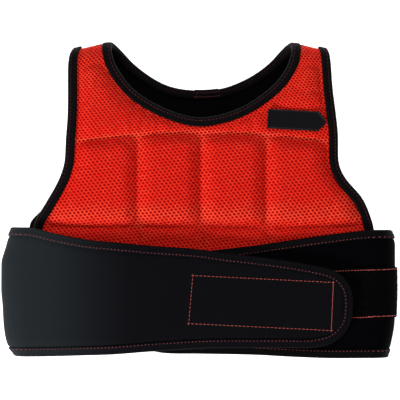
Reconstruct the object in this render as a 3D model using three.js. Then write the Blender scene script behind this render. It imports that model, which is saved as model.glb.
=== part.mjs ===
import * as THREE from "three";

// A sleeveless weighted vest lying flat on its back, front side up, the waist belt closed
// round it. +X is the wearer's left arm side, +Y the collar, +Z up from the floor.

// Overall sizes, mm
const vestWidth = 399;
const vestHeight = 317;

// Shoulder fold and the droop of the front half towards its sides
const foldRadius = 16.75;
const shoulderSlope = 0.16;
const frontDroop = 6;
const droopReachShare = 0.827;

// Padded panels and their weights
const edgeThick = 4;
const frontPadUp = 7;
const frontPadDown = 3;
const backPadUp = 4;
const backPadDown = 2;
const liningThick = 1.2;

// Edge tapes
const tapeWall = 1.5;
const tapeDepth = 7;
const ringInset = 9.4;
const lapWall = 0.9;

// Waist belt
const beltThick = 4;
const beltBackShare = 0.752;
const beltFoldShare = 0.852;
const hemThick = 2.4;
const hemWall = 0.9;
const hemDepth = 7;
const hemInset = 8.2;
const loopThick = 1.8;
const hookThick = 1.2;

// Tag on the chest
const tagLength = 52;
const tagWidth = 18.6;
const tagPoint = 7;
const tagThick = 1.4;
const tagTilt = -3;

// Clearance between neighbouring pieces, and between a tape and the cloth inside it
const gap = 0.3;
const slotGap = 0.65;

const halfWidth = vestWidth / 2;
const halfHeight = vestHeight / 2;
const tapeHalf = edgeThick / 2 + slotGap + tapeWall;
const hemHalf = hemThick / 2 + slotGap + hemWall;
const foldY = halfHeight - foldRadius - tapeHalf;
const foldShare = foldY / halfHeight;

// Heights of the pieces lying on one another, from the floor up
const beltLift = hemHalf;
const beltBackThick = beltThick + 3 * gap;
const backStrapHeight = tapeHalf;
const backOverBelt = 2 * hemHalf + 2 * gap;
const underOverFront = edgeThick / 2 + frontPadUp / 2 + 2 * gap + hemHalf;
const overOverUnder = beltThick + loopThick + hookThick + 4 * gap;
const foldCentre = backStrapHeight + foldRadius;
const frontStrapHeight = foldCentre + foldRadius;
const foldArc = Math.PI * foldRadius;
const droopReach = droopReachShare * halfWidth;
const beltBackHalf = beltBackShare * halfWidth;
const beltFoldStart = beltFoldShare * halfWidth;

const table = (names, rows) => rows.map((row) => Object.fromEntries(names.map((name, k) => [name, row[k]])));

// Sides of the front half, shares of half height and half width
const frontSides = table(["y", "left", "right"], [
  [-0.9495, -0.7644, 0.7945],
  [-0.8927, -0.8195, 0.8496],
  [-0.7918, -0.8296, 0.8647],
  [-0.306, -0.8346, 0.8672],
  [-0.2303, -0.8296, 0.8672],
  [-0.1735, -0.8246, 0.8647],
  [-0.1167, -0.807, 0.8496],
  [-0.0536, -0.7744, 0.8321],
  [0.0221, -0.7393, 0.7995],
  [0.0978, -0.7043, 0.7419],
  [0.1735, -0.6792, 0.7018],
  [0.2492, -0.6642, 0.6842],
  [0.4006, -0.6591, 0.6842],
  [0.5047, -0.6516, 0.6767],
  [0.6025, -0.6491, 0.6667],
  [0.7161, -0.6491, 0.6556],
  [foldShare, -0.6491, 0.6491],
  [foldShare + 0.09, -0.6441, 0.6441],
  [foldShare + 0.17, -0.619, 0.63],
]);

// Neck of the front half, from its lowest point up
const frontNeck = table(["y", "left", "right"], [
  [0.5047, 0.0025, 0.0025],
  [0.5142, -0.0576, 0.0652],
  [0.5331, -0.1078, 0.1328],
  [0.5621, -0.1729, 0.1955],
  [0.6025, -0.2381, 0.2607],
  [0.653, -0.3033, 0.3183],
  [0.7161, -0.3624, 0.3799],
  [0.776, -0.3955, 0.4216],
  [0.836, -0.4271, 0.4486],
  [foldShare, -0.441, 0.462],
  [foldShare + 0.09, -0.4546, 0.476],
  [foldShare + 0.17, -0.4536, 0.4702],
]);

// Sides of the back half
const backSides = table(["y", "left", "right"], [
  [-0.9495, -0.7494, 0.7794],
  [-0.8927, -0.7995, 0.8346],
  [-0.7918, -0.8145, 0.8496],
  [-0.306, -0.8246, 0.8521],
  [-0.2177, -0.834, 0.8521],
  [-0.1672, -0.856, 0.8471],
  [-0.123, -0.8296, 0.8346],
  [-0.0726, -0.7845, 0.8221],
  [-0.0032, -0.7419, 0.7945],
  [0.0978, -0.6892, 0.7243],
  [0.1735, -0.6642, 0.6892],
  [0.2492, -0.6491, 0.6692],
  [0.4006, -0.6441, 0.6692],
  [0.6025, -0.6341, 0.6516],
  [foldShare, -0.6291, 0.6341],
  [foldShare + 0.09, -0.6341, 0.6341],
  [foldShare + 0.17, -0.619, 0.63],
]);

// Neck of the back half
const backNeck = table(["y", "left", "right"], [
  [0.6814, 0.0025, 0.0025],
  [0.6909, -0.0977, 0.1078],
  [0.7142, -0.1704, 0.1679],
  [0.7539, -0.2331, 0.2406],
  [0.7886, -0.2732, 0.2882],
  [0.8297, -0.3183, 0.3333],
  [foldShare, -0.352, 0.37],
  [foldShare + 0.09, -0.415, 0.431],
  [foldShare + 0.17, -0.4536, 0.4702],
]);

// Rows of the front half: height at the middle and at the sides, how full the padding is,
// how far the columns have moved from the pockets to the straps
const frontRows = table(["y", "sideY", "full", "strap"], [
  [-0.9495, -0.9495, 0, 0],
  [-0.8927, -0.8927, 0, 0],
  [-0.78, -0.78, 0.45, 0],
  [-0.62, -0.62, 0.55, 0],
  [-0.445, -0.445, 0.55, 0],
  [-0.306, -0.306, 0.35, 0],
  [-0.235, -0.235, 0.25, 0],
  [-0.1735, -0.1735, 0.12, 0],
  [-0.12, -0.123, 0.7, 0],
  [-0.03, -0.045, 1, 0],
  [0.085, 0.06, 1, 0],
  [0.2, 0.165, 0.95, 0],
  [0.3, 0.26, 0.75, 0],
  [0.37, 0.315, 0.4, 0],
  [0.42, 0.363, 0.12, 0],
  [0.45, 0.41, 0.35, 0.1],
  [0.477, 0.455, 0.5, 0.3],
  [0.5047, 0.5047, 0.55, 0.6],
  [0.5142, 0.5142, 0.55, 0.7],
  [0.5331, 0.5331, 0.55, 0.8],
  [0.5621, 0.5621, 0.55, 0.9],
  [0.6025, 0.6025, 0.55, 1],
  [0.653, 0.653, 0.5, 1],
  [0.7161, 0.7161, 0.45, 1],
  [0.776, 0.776, 0.4, 1],
  [0.836, 0.836, 0.35, 1],
  [foldShare, foldShare, 0.3, 1],
]);
const frontNeckRow = 17;

// Rows of the back half
const backRows = table(["y", "sideY", "full", "strap"], [
  [-0.9495, -0.9495, 0, 0],
  [-0.8927, -0.8927, 0, 0],
  [-0.78, -0.78, 0.5, 0],
  [-0.55, -0.55, 0.9, 0],
  [-0.306, -0.306, 0.6, 0],
  [-0.2177, -0.2177, 0.2, 0],
  [-0.1672, -0.1672, 0.3, 0],
  [-0.123, -0.123, 0.6, 0],
  [-0.0032, -0.0032, 1, 0],
  [0.1735, 0.15, 0.9, 0],
  [0.31, 0.27, 0.4, 0],
  [0.4, 0.36, 0.2, 0],
  [0.5, 0.47, 0.5, 0],
  [0.6278, 0.61, 0.5, 0.4],
  [0.653, 0.645, 0.5, 0.6],
  [0.6814, 0.6814, 0.5, 0.8],
  [0.6909, 0.6909, 0.5, 0.9],
  [0.7142, 0.7142, 0.45, 1],
  [0.7539, 0.7539, 0.4, 1],
  [0.7886, 0.7886, 0.35, 1],
  [0.8297, 0.8297, 0.3, 1],
  [foldShare, foldShare, 0.25, 1],
]);
const backNeckRow = 15;

// Columns of one half, from the arm side to the middle: share of the way between their
// limits over the pockets, fullness over the pockets and over the straps
const frontColumns = table(["limit", "share", "full", "strapFull"], [
  ["side", 0, 0, 0],
  ["side", 1, 0, 0],
  ["outer", 0.33, 0.9, 0.8],
  ["outer", 0.68, 0.9, 1],
  ["outer", 1, 0.12, 1],
  ["inner", 0.27, 0.9, 1],
  ["inner", 0.55, 1, 0.8],
  ["inner", 0.82, 0.8, 0],
  ["inner", 1, 0.12, 0],
]);
const backColumns = table(["limit", "share", "full", "strapFull"], [
  ["side", 0, 0, 0],
  ["side", 1, 0, 0],
  ["outer", 0.5, 1, 1],
  ["outer", 1, 0.15, 1],
  ["inner", 0.5, 1, 1],
  ["inner", 0.85, 0.7, 0],
  ["inner", 1, 0.15, 0],
]);
const pocketSeam = { left: -0.31, middle: 0.0075, right: 0.334 };

// Height of the middle of the front half, a share of its height at the shoulder, and how
// much of the droop its sides have
const frontHeights = table(["y", "height", "droop"], [
  [-1, 0.955, 0.85],
  [-0.64, 1.008, 1],
  [-0.17, 1.021, 1],
  [0.19, 1.034, 0.67],
  [0.5, 1.034, 0.42],
  [0.69, 1.021, 0.17],
  [0.83, 1, 0],
  [1, 1, 0],
]);
// How much the back half is raised by the belt below it
const backHeights = table(["y", "share"], [
  [-1, 1],
  [-0.14, 1],
  [0, 0.5],
  [0.17, 0],
  [1, 0],
]);

// Outline of the belt wing that closes on top
const overEdges = table(["x", "top", "bottom"], [
  [-0.8521, -0.1735, -0.9874],
  [-0.7143, -0.2114, -0.9842],
  [-0.5539, -0.2492, -0.9779],
  [-0.4236, -0.265, -0.9716],
  [-0.2331, -0.2871, -0.9527],
  [0.0025, -0.3091, -0.9338],
  [0.1328, -0.3331, -0.9306],
  [0.2581, -0.3502, -0.9306],
  [0.4486, -0.3817, -0.9306],
  [0.5639, -0.4069, -0.9306],
  [0.6441, -0.429, -0.9117],
  [0.6892, -0.4543, -0.8833],
  [0.7263, -0.489, -0.8423],
  [0.7569, -0.5521, -0.776],
  [0.7664, -0.6215, -0.6909],
]);
// Outline of the belt wing beneath it
const underEdges = table(["x", "top", "bottom"], [
  [0.8521, -0.1893, -0.9968],
  [0.6441, -0.2177, -0.9968],
  [0.4486, -0.2524, -0.9874],
  [0.2581, -0.2871, -0.9748],
  [0.0025, -0.3249, -0.9685],
  [-0.1729, -0.3502, -0.9653],
  [-0.2581, -0.3817, -0.9432],
  [-0.2982, -0.4322, -0.9054],
]);
// How far the belt reaches where it turns round each side
const sideFolds = table(["y", "left", "right"], [
  [-1, 0.92, 0.945],
  [-0.8991, 0.9699, 0.9649],
  [-0.7855, 0.985, 0.9799],
  [-0.6719, 0.99, 0.984],
  [-0.5584, 0.9975, 0.986],
  [-0.4069, 0.9975, 0.985],
  [-0.2934, 0.9749, 0.985],
  [-0.205, 0.9549, 0.9699],
  [-0.1672, 0.9449, 0.9449],
]);
// How far the upper wing has climbed on to the lower one
const wingClimb = table(["x", "share"], [
  [-0.8521, 0],
  [-0.7, 0.22],
  [-0.5, 0.6],
  [-0.34, 1],
  [1, 1],
]);

const clamp = (value, low, high) => Math.min(high, Math.max(low, value));
const mix = (a, b, t) => a + (b - a) * t;
const smooth = (t) => t * t * (3 - 2 * t);

// Value of one column of a table at a place along its first column
const readTable = (rows, key, at, name) => {
  const up = rows[rows.length - 1][key] > rows[0][key];
  const sorted = up ? rows : [...rows].reverse();
  if (at <= sorted[0][key]) return sorted[0][name];
  for (let k = 1; k < sorted.length; k += 1) {
    if (at <= sorted[k][key]) {
      const t = (at - sorted[k - 1][key]) / (sorted[k][key] - sorted[k - 1][key]);
      return mix(sorted[k - 1][name], sorted[k][name], t);
    }
  }
  return sorted[sorted.length - 1][name];
};

const frontHeight = (x, y) => {
  const share = y / halfHeight;
  const droop = readTable(frontHeights, "y", share, "droop") * frontDroop;
  return readTable(frontHeights, "y", share, "height") * frontStrapHeight - droop * (x / droopReach) ** 2;
};
const wingHeight = (x, level) => {
  const climb = level === "over" ? readTable(wingClimb, "x", x / halfWidth, "share") : 0;
  return frontHeight(x, -0.17 * halfHeight) + underOverFront + climb * overOverUnder;
};
const backHeight = (x, y) => backStrapHeight + backOverBelt * readTable(backHeights, "y", y / halfHeight, "share");

// Place on the vest for a point of its flat cloth: x across, s up the front, over the
// shoulder and down the back, t outward from the middle of the cloth
const place = (x, s, t) => {
  let y = s;
  let z = frontHeight(x, s) + t;
  if (s > foldY) {
    const turn = (s - foldY) / foldRadius;
    y = foldY + (foldRadius + t) * Math.sin(turn);
    z = foldCentre + (foldRadius + t) * Math.cos(turn);
  }
  if (s > foldY + foldArc) {
    y = foldY - (s - foldY - foldArc);
    z = backHeight(x, y) - t;
  }
  const nearTop = smooth(clamp((y - 0.7 * halfHeight) / (0.25 * halfHeight), 0, 1));
  return new THREE.Vector3(x, y - shoulderSlope * Math.max(0, Math.abs(x) - 0.46 * halfWidth) * nearTop, z);
};

// Closed shell between the outer and inner places of a grid of points; points used twice
// are the same point, and cells named by the skip function are left out
const shell = (grid, skip = () => false, parity = 0) => {
  const points = [];
  const numbers = new Map();
  const number = (point) => {
    if (!numbers.has(point)) {
      numbers.set(point, points.length);
      points.push(point);
    }
    return numbers.get(point);
  };
  const faces = [];
  for (let i = 0; i + 1 < grid.length; i += 1) {
    for (let j = 0; j + 1 < grid[i].length; j += 1) {
      if (skip(i, j)) continue;
      const [a, b, c, d] = [grid[i][j], grid[i][j + 1], grid[i + 1][j + 1], grid[i + 1][j]].map(number);
      const halves = (i + j + parity) % 2 ? [[a, b, c], [a, c, d]] : [[a, b, d], [b, c, d]];
      halves.filter(([p, q, r]) => p !== q && q !== r && r !== p).forEach((face) => faces.push(face));
    }
  }
  const edges = new Map();
  faces.forEach(([p, q, r]) => [[p, q], [q, r], [r, p]].forEach(([m, n]) => edges.set(`${m},${n}`, [m, n])));
  const positions = points.flatMap((point) => [point.outer, point.inner]);
  const indices = [];
  faces.forEach(([p, q, r]) => indices.push(2 * p, 2 * q, 2 * r, 2 * p + 1, 2 * r + 1, 2 * q + 1));
  edges.forEach(([m, n]) => {
    if (!edges.has(`${n},${m}`)) indices.push(...split([2 * m, 2 * m + 1, 2 * n + 1, 2 * n], positions));
  });
  return makeGeometry(positions, indices);
};

// Two triangles of a four-sided piece, split along its shorter diagonal
const split = ([a, b, c, d], places) => {
  const straight = places[a].distanceTo(places[c]) < places[b].distanceTo(places[d]);
  return straight ? [a, b, c, a, c, d] : [a, b, d, b, c, d];
};

const makeGeometry = (positions, indices) => {
  const geometry = new THREE.BufferGeometry();
  geometry.setAttribute("position", new THREE.Float32BufferAttribute(positions.flatMap((p) => [p.x, p.y, p.z]), 3));
  geometry.setIndex(indices);
  geometry.computeVertexNormals();
  return geometry;
};

// Tape of a given section carried along an edge of the cloth. A station is a place on the
// flat cloth; the section's depth runs to the left of the way the stations go
const carry = (stations, section, put, { closed = false, mirrored = false } = {}) => {
  const count = stations.length;
  const rings = stations.map((station, k) => {
    const before = stations[closed ? (k - 1 + count) % count : Math.max(0, k - 1)];
    const after = stations[closed ? (k + 1) % count : Math.min(count - 1, k + 1)];
    const first = new THREE.Vector2(station.u - before.u, station.v - before.v);
    const second = new THREE.Vector2(after.u - station.u, after.v - station.v);
    const along = first.normalize().add(second.normalize()).normalize();
    return section.map(([depth, up]) => put(station.u - along.y * depth, station.v + along.x * depth, up));
  });
  const places = rings.flat();
  const size = section.length;
  const indices = [];
  const last = closed ? count : count - 1;
  for (let k = 0; k < last; k += 1) {
    const next = (k + 1) % count;
    for (let m = 0; m < size; m += 1) {
      const n = (m + 1) % size;
      indices.push(...split([k * size + m, k * size + n, next * size + n, next * size + m], places));
    }
  }
  if (!closed) {
    const flat = section.map(([depth, up]) => new THREE.Vector2(depth, up));
    const caps = THREE.ShapeUtils.triangulateShape(flat, []);
    const end = (count - 1) * size;
    caps.forEach(([p, q, r]) => indices.push(r, q, p, end + p, end + q, end + r));
  }
  if (mirrored) indices.reverse();
  return makeGeometry(places, indices);
};

// Section of a tape folded over an edge
const foldedTape = (inside, wall, depth) => [
  [depth, inside],
  [depth, inside + wall],
  [-slotGap - wall, inside + wall],
  [-slotGap - wall, -inside - wall],
  [depth, -inside - wall],
  [depth, -inside],
  [-slotGap, -inside],
  [-slotGap, inside],
];

// Line beside the neck edge where the padding starts, found on each side of the neck
const neckRing = (neck, side) => {
  const line = neck.map((row) => new THREE.Vector2(row[side] * halfWidth, row.y * halfHeight));
  const turn = side === "left" ? 1 : -1;
  const moved = line.map((point, k) => {
    const along = line[Math.min(k + 1, line.length - 1)].clone().sub(line[Math.max(k - 1, 0)]).normalize();
    if (k === 0) along.set(-turn, 0);
    return { y: point.y - turn * along.x * -ringInset, x: point.x - turn * along.y * ringInset };
  });
  return moved;
};

// Grid of one half of the vest. Height places are along the flat cloth
const panelGrid = (design) => {
  const rings = { left: neckRing(design.neck, "left"), right: neckRing(design.neck, "right") };
  const columnsOf = (row, side, height) => {
    const share = height / halfHeight;
    const sign = side === "left" ? -1 : 1;
    const edge = readTable(design.sides, "y", share, side) * halfWidth;
    const middle = row.open ? readTable(design.neck, "y", share, side) * halfWidth : pocketSeam.middle * halfWidth;
    const step = 0.01;
    const lean = readTable(design.sides, "y", share + step, side) - readTable(design.sides, "y", share - step, side);
    const slope = row.over ? 0 : (lean * halfWidth) / (2 * step * halfHeight);
    const ring = edge - sign * ringInset * Math.hypot(1, slope);
    const seam = pocketSeam[side] * halfWidth;
    const byNeck = readTable(rings[side], "y", height, "x");
    const last = sign * Math.max(sign * byNeck, sign * middle + 0.04 * halfWidth);
    const count = design.columns.length;
    return design.columns.map((column, j) => {
      if (j === 0) return edge;
      if (j === count - 1) return middle;
      if (j === count - 2 && row.strap > 0) return last;
      const pocket = {
        side: ring,
        outer: mix(ring, seam, column.share),
        inner: mix(seam, middle, column.share),
      }[column.limit];
      const strap = mix(ring, last, (j - 1) / (count - 3));
      return mix(pocket, strap, row.strap);
    });
  };
  return design.rows.map((row) => {
    const half = (side) => {
      const level = columnsOf(row, side, row.s);
      return level.map((x, j) => {
        const bow = clamp(1 - (x / (0.66 * halfWidth)) ** 2, 0, 1);
        const s = row.over ? row.s : mix(row.sideS, row.s, bow);
        const moved = row.over || row.sideS === row.s ? x : columnsOf(row, side, s)[j];
        const column = design.columns[j];
        const byEdge = j >= design.columns.length - 2 && row.strap > 0;
        const pinched = row.over ? design.pinch : 0;
        const full = byEdge ? pinched : row.full * mix(column.full, column.strapFull, row.strap);
        return design.point(moved, s, full);
      });
    };
    const left = half("left");
    const right = half("right").reverse();
    if (!row.open) right[0] = left[left.length - 1];
    return [...left, ...right];
  });
};

// Rows of the flat cloth from rows of the outline, carried on over the shoulder
const overFold = [0.2, 0.4, 0.6, 0.8];
const frontDesign = {
  pinch: 0,
  sides: frontSides,
  neck: frontNeck,
  columns: frontColumns,
  rows: [
    ...frontRows.map((row, i) => ({
      ...row,
      s: row.y * halfHeight,
      sideS: row.sideY * halfHeight,
      open: i > frontNeckRow,
    })),
    ...[...overFold, 1].map((share) => ({
      s: foldY + (share * foldArc) / 2 - (share === 1 ? gap / 2 : 0),
      full: 0.3,
      strap: 1,
      open: true,
      over: true,
    })),
  ],
  point: (x, s, full) => ({
    outer: place(x, s, edgeThick / 2 + frontPadUp * full),
    inner: place(x, s, -edgeThick / 2 - frontPadDown * full),
    x,
    s,
  }),
};

// Place on the back half for a height on the back outline
const backPlace = (x, s, t) => {
  const turned = s > foldY ? foldY + foldArc - (s - foldY) : foldY + foldArc + (foldY - s);
  return place(x, turned, t);
};
const backDesign = {
  pinch: -0.25,
  sides: backSides,
  neck: backNeck,
  columns: backColumns,
  rows: [
    ...backRows.map((row, i) => ({
      ...row,
      s: row.y * halfHeight,
      sideS: row.sideY * halfHeight,
      open: i > backNeckRow,
    })),
    ...[...overFold, 1].map((share) => ({
      s: foldY + (share * foldArc) / 2 - (share === 1 ? gap / 2 : 0),
      full: 0.3,
      strap: 1,
      open: true,
      over: true,
    })),
  ],
  point: (x, s, full) => ({
    outer: backPlace(x, s, edgeThick / 2 + backPadDown * full),
    inner: backPlace(x, s, -edgeThick / 2 - backPadUp * full),
    lining: backPlace(x, s, -edgeThick / 2 - backPadUp * full - gap),
    face: backPlace(x, s, -edgeThick / 2 - backPadUp * full - gap - liningThick),
    x,
    s,
  }),
};

const frontGrid = panelGrid(frontDesign);
const backGrid = panelGrid(backDesign).reverse();
const centreColumn = frontColumns.length - 1;
const backCentre = backColumns.length - 1;
const frontPanel = shell(frontGrid, (i, j) => j === centreColumn && i >= frontNeckRow);
const backOpenFrom = backDesign.rows.length - 1 - backNeckRow;
const backPanel = shell(backGrid, (i, j) => j === backCentre && i < backOpenFrom);

// Black lining on the inner side of the back half, between the edge tapes
const liningGrid = backGrid.slice(0, -1).map((row) =>
  row.slice(1, -1).map((point) => {
    point.cover = point.cover || { outer: point.lining, inner: point.face };
    return point.cover;
  }),
);
const besideNeck = (i, j) => j >= backCentre - 2 && j <= backCentre && i < backOpenFrom + 2;
const backLining = shell(liningGrid, besideNeck, 1);

// Edge tapes
const panelTape = foldedTape(edgeThick / 2 + slotGap, tapeWall, tapeDepth);
const overShoulder = (s) => foldY + foldArc - (s - foldY);
const toStations = (points, back) => points.map(({ x, s }) => ({ u: x, v: back ? overShoulder(s) : s }));
const sideLine = (grid, last, from, back) => {
  const line = grid.map((row) => row[last ? row.length - 1 : 0]).filter(({ s }) => s > from * halfHeight);
  return toStations(line, back);
};
const tapeFoot = -0.4;
const leftArm = [...sideLine(frontGrid, false, tapeFoot, false), ...sideLine(backGrid, false, tapeFoot, true)];
const rightArm = [...sideLine(frontGrid, true, tapeFoot, false), ...sideLine(backGrid, true, tapeFoot, true)];
const armTapeLeft = carry(thin(leftArm).reverse(), panelTape, place);
const armTapeRight = carry(thin(rightArm), panelTape, place);

// Stations closer together than the clearance are one station
function thin(stations) {
  return stations.filter((station, k) => {
    const before = stations[k - 1];
    return !before || Math.hypot(station.u - before.u, station.v - before.v) > 2 * gap;
  });
}

const neckLine = (grid, centre, rows, back) => toStations(rows.map((i) => grid[i][centre]), back);
const frontNeckRows = [...frontGrid.keys()].filter((i) => i >= frontNeckRow);
const backNeckRows = [...backGrid.keys()].filter((i) => i <= backOpenFrom);
const neckLoop = thin([
  ...neckLine(frontGrid, centreColumn, [...frontNeckRows].reverse(), false),
  ...neckLine(frontGrid, centreColumn + 1, frontNeckRows.slice(1), false),
  ...neckLine(backGrid, backCentre + 1, backNeckRows, true),
  ...neckLine(backGrid, backCentre, [...backNeckRows].reverse().slice(1), true),
]).slice(0, -1);
const neckTape = carry([...neckLoop].reverse(), panelTape, place, { closed: true });

// Lap where the two ends of the neck tape meet at the middle of the back
const lapInside = edgeThick / 2 + slotGap + tapeWall + gap;
const lapReach = -slotGap - gap - tapeWall;
const lapFoot = 1 - lapInside;
// Its inner side of the vest is the cloth's negative side
const lapSection = [
  [tapeDepth - 0.5, -lapInside],
  [lapReach, -lapInside],
  [lapReach, -lapFoot],
  [lapReach - lapWall, -lapFoot],
  [lapReach - lapWall, -lapInside - lapWall],
  [tapeDepth - 0.5, -lapInside - lapWall],
];
const lapMiddle = neckLoop.findIndex((station) => station.v > foldY + foldArc && Math.abs(station.u) < 2);
const lapStations = [lapMiddle - 1, lapMiddle, lapMiddle + 1].map((k) => neckLoop[k]);
const shorten = (from, to, share) => ({ u: mix(from.u, to.u, share), v: mix(from.v, to.v, share) });
const neckLap = carry(
  [
    shorten(lapStations[1], lapStations[2], 0.35),
    lapStations[1],
    shorten(lapStations[1], lapStations[0], 0.85),
  ],
  lapSection,
  place,
);

// Waist belt. A wing's place is found from the run along it, the height y and the way out t
const wing = (side, level, edges) => {
  const sign = side === "left" ? -1 : 1;
  const startHeight = wingHeight(sign * beltFoldStart, level);
  const rise = (startHeight - beltLift) / 2;
  const centre = beltLift + rise;
  const foldHalf = 0.9 * rise + 6;
  const reach = (y) => readTable(sideFolds, "y", y / halfHeight, side) * halfWidth - beltFoldStart - beltThick / 2;
  const heightAt = (x) => wingHeight(x, level);
  // run: below zero on the back, zero to one round the fold, then the way along the front
  const put = (run, y, t) => {
    if (run <= 0) return new THREE.Vector3(sign * (beltFoldStart + run), y, beltLift - t);
    if (run < foldHalf * 2) {
      const turn = (run / (foldHalf * 2) - 0.5) * Math.PI;
      const wide = reach(y);
      const across = new THREE.Vector2(Math.cos(turn) * rise, Math.sin(turn) * wide).normalize();
      const x = beltFoldStart + wide * Math.cos(turn) + t * across.x;
      return new THREE.Vector3(sign * x, y, centre + rise * Math.sin(turn) + t * across.y);
    }
    const x = sign * (beltFoldStart - (run - foldHalf * 2));
    const slope = (heightAt(x + 1) - heightAt(x - 1)) / 2;
    const out = new THREE.Vector2(-slope, 1).normalize();
    return new THREE.Vector3(x + t * out.x, y, heightAt(x) + t * out.y);
  };
  const frontRun = (share) => foldHalf * 2 + beltFoldStart - sign * share * halfWidth;
  const hemReach = slotGap + hemWall;
  const topOfRow = (row) => row.top * halfHeight - hemReach;
  const bottomOfRow = (row) => row.bottom * halfHeight + hemReach;
  const foldShares = [0.11, 0.24, 0.37, 0.5, 0.63, 0.76, 0.89];
  const backEdge = [beltFoldStart - beltBackHalf - gap, 0].map((run) => ({
    run: -run,
    top: topOfRow(edges[0]),
    bottom: bottomOfRow(edges[0]),
  }));
  const foldEdge = foldShares.map((share) => ({
    run: share * foldHalf * 2,
    top: topOfRow(edges[0]),
    bottom: bottomOfRow(edges[0]),
  }));
  const frontEdge = edges.map((row) => ({
    run: frontRun(row.x) - hemReach,
    top: topOfRow(row),
    bottom: bottomOfRow(row),
  }));
  return { put, frontRun, sign, stations: [...backEdge, ...foldEdge, ...frontEdge] };
};

// Body of a wing: thin under its hems, full thickness between them
const across = [0.25, 0.5, 0.75];
const wingBody = (belt) => {
  const last = belt.stations.length - 1;
  const grid = belt.stations.map((station, i) => {
    const low = station.bottom + hemInset;
    const high = station.top - hemInset;
    const levels = [station.bottom, low, ...across.map((share) => mix(low, high, share)), high, station.top];
    if (i === last) {
      levels.forEach((_, k) => {
        levels[k] = mix(station.bottom, station.top, k / (levels.length - 1));
      });
    }
    return levels.map((y, k) => {
      const thinPart = k < 2 || k > levels.length - 3 || i >= last - 2;
      const half = (thinPart ? hemThick : beltThick) / 2;
      return { outer: belt.put(station.run, y, half), inner: belt.put(station.run, y, -half) };
    });
  });
  return shell(belt.sign > 0 ? grid : grid.map((row) => [...row].reverse()));
};
const wingHem = (belt) => {
  const top = belt.stations.map(({ run, top: v }) => ({ u: run, v }));
  const bottom = belt.stations.map(({ run, bottom: v }) => ({ u: run, v }));
  const section = foldedTape(hemThick / 2 + slotGap, hemWall, hemDepth);
  return carry([...bottom, ...top.reverse()], section, belt.put, { mirrored: belt.sign > 0 });
};
const overWing = wing("left", "over", overEdges);
const underWing = wing("right", "under", underEdges);

// Hook patch behind the upper wing, loop strip on the lower wing and round the side
const patchRows = table(["x", "top", "bottom"], [
  [-0.0326, -0.4738, -0.7754],
  [0.1328, -0.482, -0.785],
  [0.2581, -0.489, -0.793],
  [0.4486, -0.501, -0.805],
  [0.5639, -0.509, -0.812],
  [0.667, -0.518, -0.8202],
]);
const stripRows = table(["x", "top", "bottom"], [
  [0.8521, -0.424, -0.7413],
  [0.6441, -0.442, -0.755],
  [0.4486, -0.455, -0.768],
  [0.2581, -0.468, -0.782],
  [0.0025, -0.486, -0.8],
  [-0.03, -0.489, -0.803],
]);
const band = (belt, stations, low, high) => {
  const grid = stations.map(({ run, top, bottom }) =>
    [0, 0.33, 0.67, 1].map((share) => {
      const y = mix(bottom, top, share);
      return { outer: belt.put(run, y, high), inner: belt.put(run, y, low) };
    }),
  );
  return shell(belt.sign > 0 ? grid : grid.map((row) => [...row].reverse()));
};
const bandStations = (belt, rows) =>
  rows.map((row) => ({ run: belt.frontRun(row.x), top: row.top * halfHeight, bottom: row.bottom * halfHeight }));
const hookPatch = band(
  overWing,
  bandStations(overWing, patchRows),
  -beltThick / 2 - gap - hookThick,
  -beltThick / 2 - gap,
);
const stripFirst = stripRows[0];
const stripRound = underWing.stations
  .filter(({ run }) => run > beltThick && run < underWing.frontRun(stripFirst.x) - 1)
  .map(({ run }) => ({ run, top: stripFirst.top * halfHeight, bottom: stripFirst.bottom * halfHeight }));
const stripLow = beltThick / 2 + gap;
const loopStrip = band(
  underWing,
  [...stripRound.slice(1), ...bandStations(underWing, stripRows)],
  stripLow,
  stripLow + loopThick,
);

// Part of the belt across the back, flat on the floor
const backTop = overEdges[0].top * halfHeight;
const backBottom = overEdges[0].bottom * halfHeight;
const beltBackGrid = [-1, -0.6, -0.2, 0.2, 0.6, 1].map((share) => {
  const x = share * beltBackHalf;
  return [0, 0.25, 0.5, 0.75, 1].map((level) => {
    const y = mix(backTop, backBottom, level);
    return { outer: new THREE.Vector3(x, y, beltBackThick), inner: new THREE.Vector3(x, y, 0) };
  });
});
const beltBack = shell(beltBackGrid);

// Tag on the chest, following the cloth below it
const topOf = (grid, x, y) => {
  let best = -Infinity;
  const test = (a, b, c) => {
    const area = (b.x - a.x) * (c.y - a.y) - (b.y - a.y) * (c.x - a.x);
    if (Math.abs(area) < 1e-9) return;
    const s = ((b.x - x) * (c.y - y) - (b.y - y) * (c.x - x)) / area;
    const t = ((c.x - x) * (a.y - y) - (c.y - y) * (a.x - x)) / area;
    if (s < 0 || t < 0 || s + t > 1) return;
    best = Math.max(best, s * a.z + t * b.z + (1 - s - t) * c.z);
  };
  for (let i = 0; i + 1 < grid.length; i += 1) {
    for (let j = 0; j + 1 < grid[i].length; j += 1) {
      const [a, b, c, d] = [grid[i][j], grid[i][j + 1], grid[i + 1][j + 1], grid[i + 1][j]].map((p) => p.outer);
      test(a, b, c);
      test(a, c, d);
      test(a, b, d);
      test(b, c, d);
    }
  }
  return best;
};
const tagStart = new THREE.Vector2(0.3418 * halfWidth, 0.5079 * halfHeight);
const tagTurn = (tagTilt * Math.PI) / 180;
const tagGrid = [0, 0.25, 0.5, 0.75, 1, 1 + tagPoint / tagLength].map((share, k, list) => {
  const along = share * tagLength;
  const half = k === list.length - 1 ? 0.12 * tagWidth : tagWidth / 2;
  return [-1, -0.5, 0, 0.5, 1].map((level) => {
    const x = tagStart.x + along * Math.cos(tagTurn) - level * half * Math.sin(tagTurn);
    const y = tagStart.y + along * Math.sin(tagTurn) + level * half * Math.cos(tagTurn);
    const z = topOf(frontGrid, x, y) + 3 * gap;
    return { outer: new THREE.Vector3(x, y, z + tagThick), inner: new THREE.Vector3(x, y, z) };
  });
});
const tag = shell(tagGrid.map((row) => [...row].reverse()));

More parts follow.
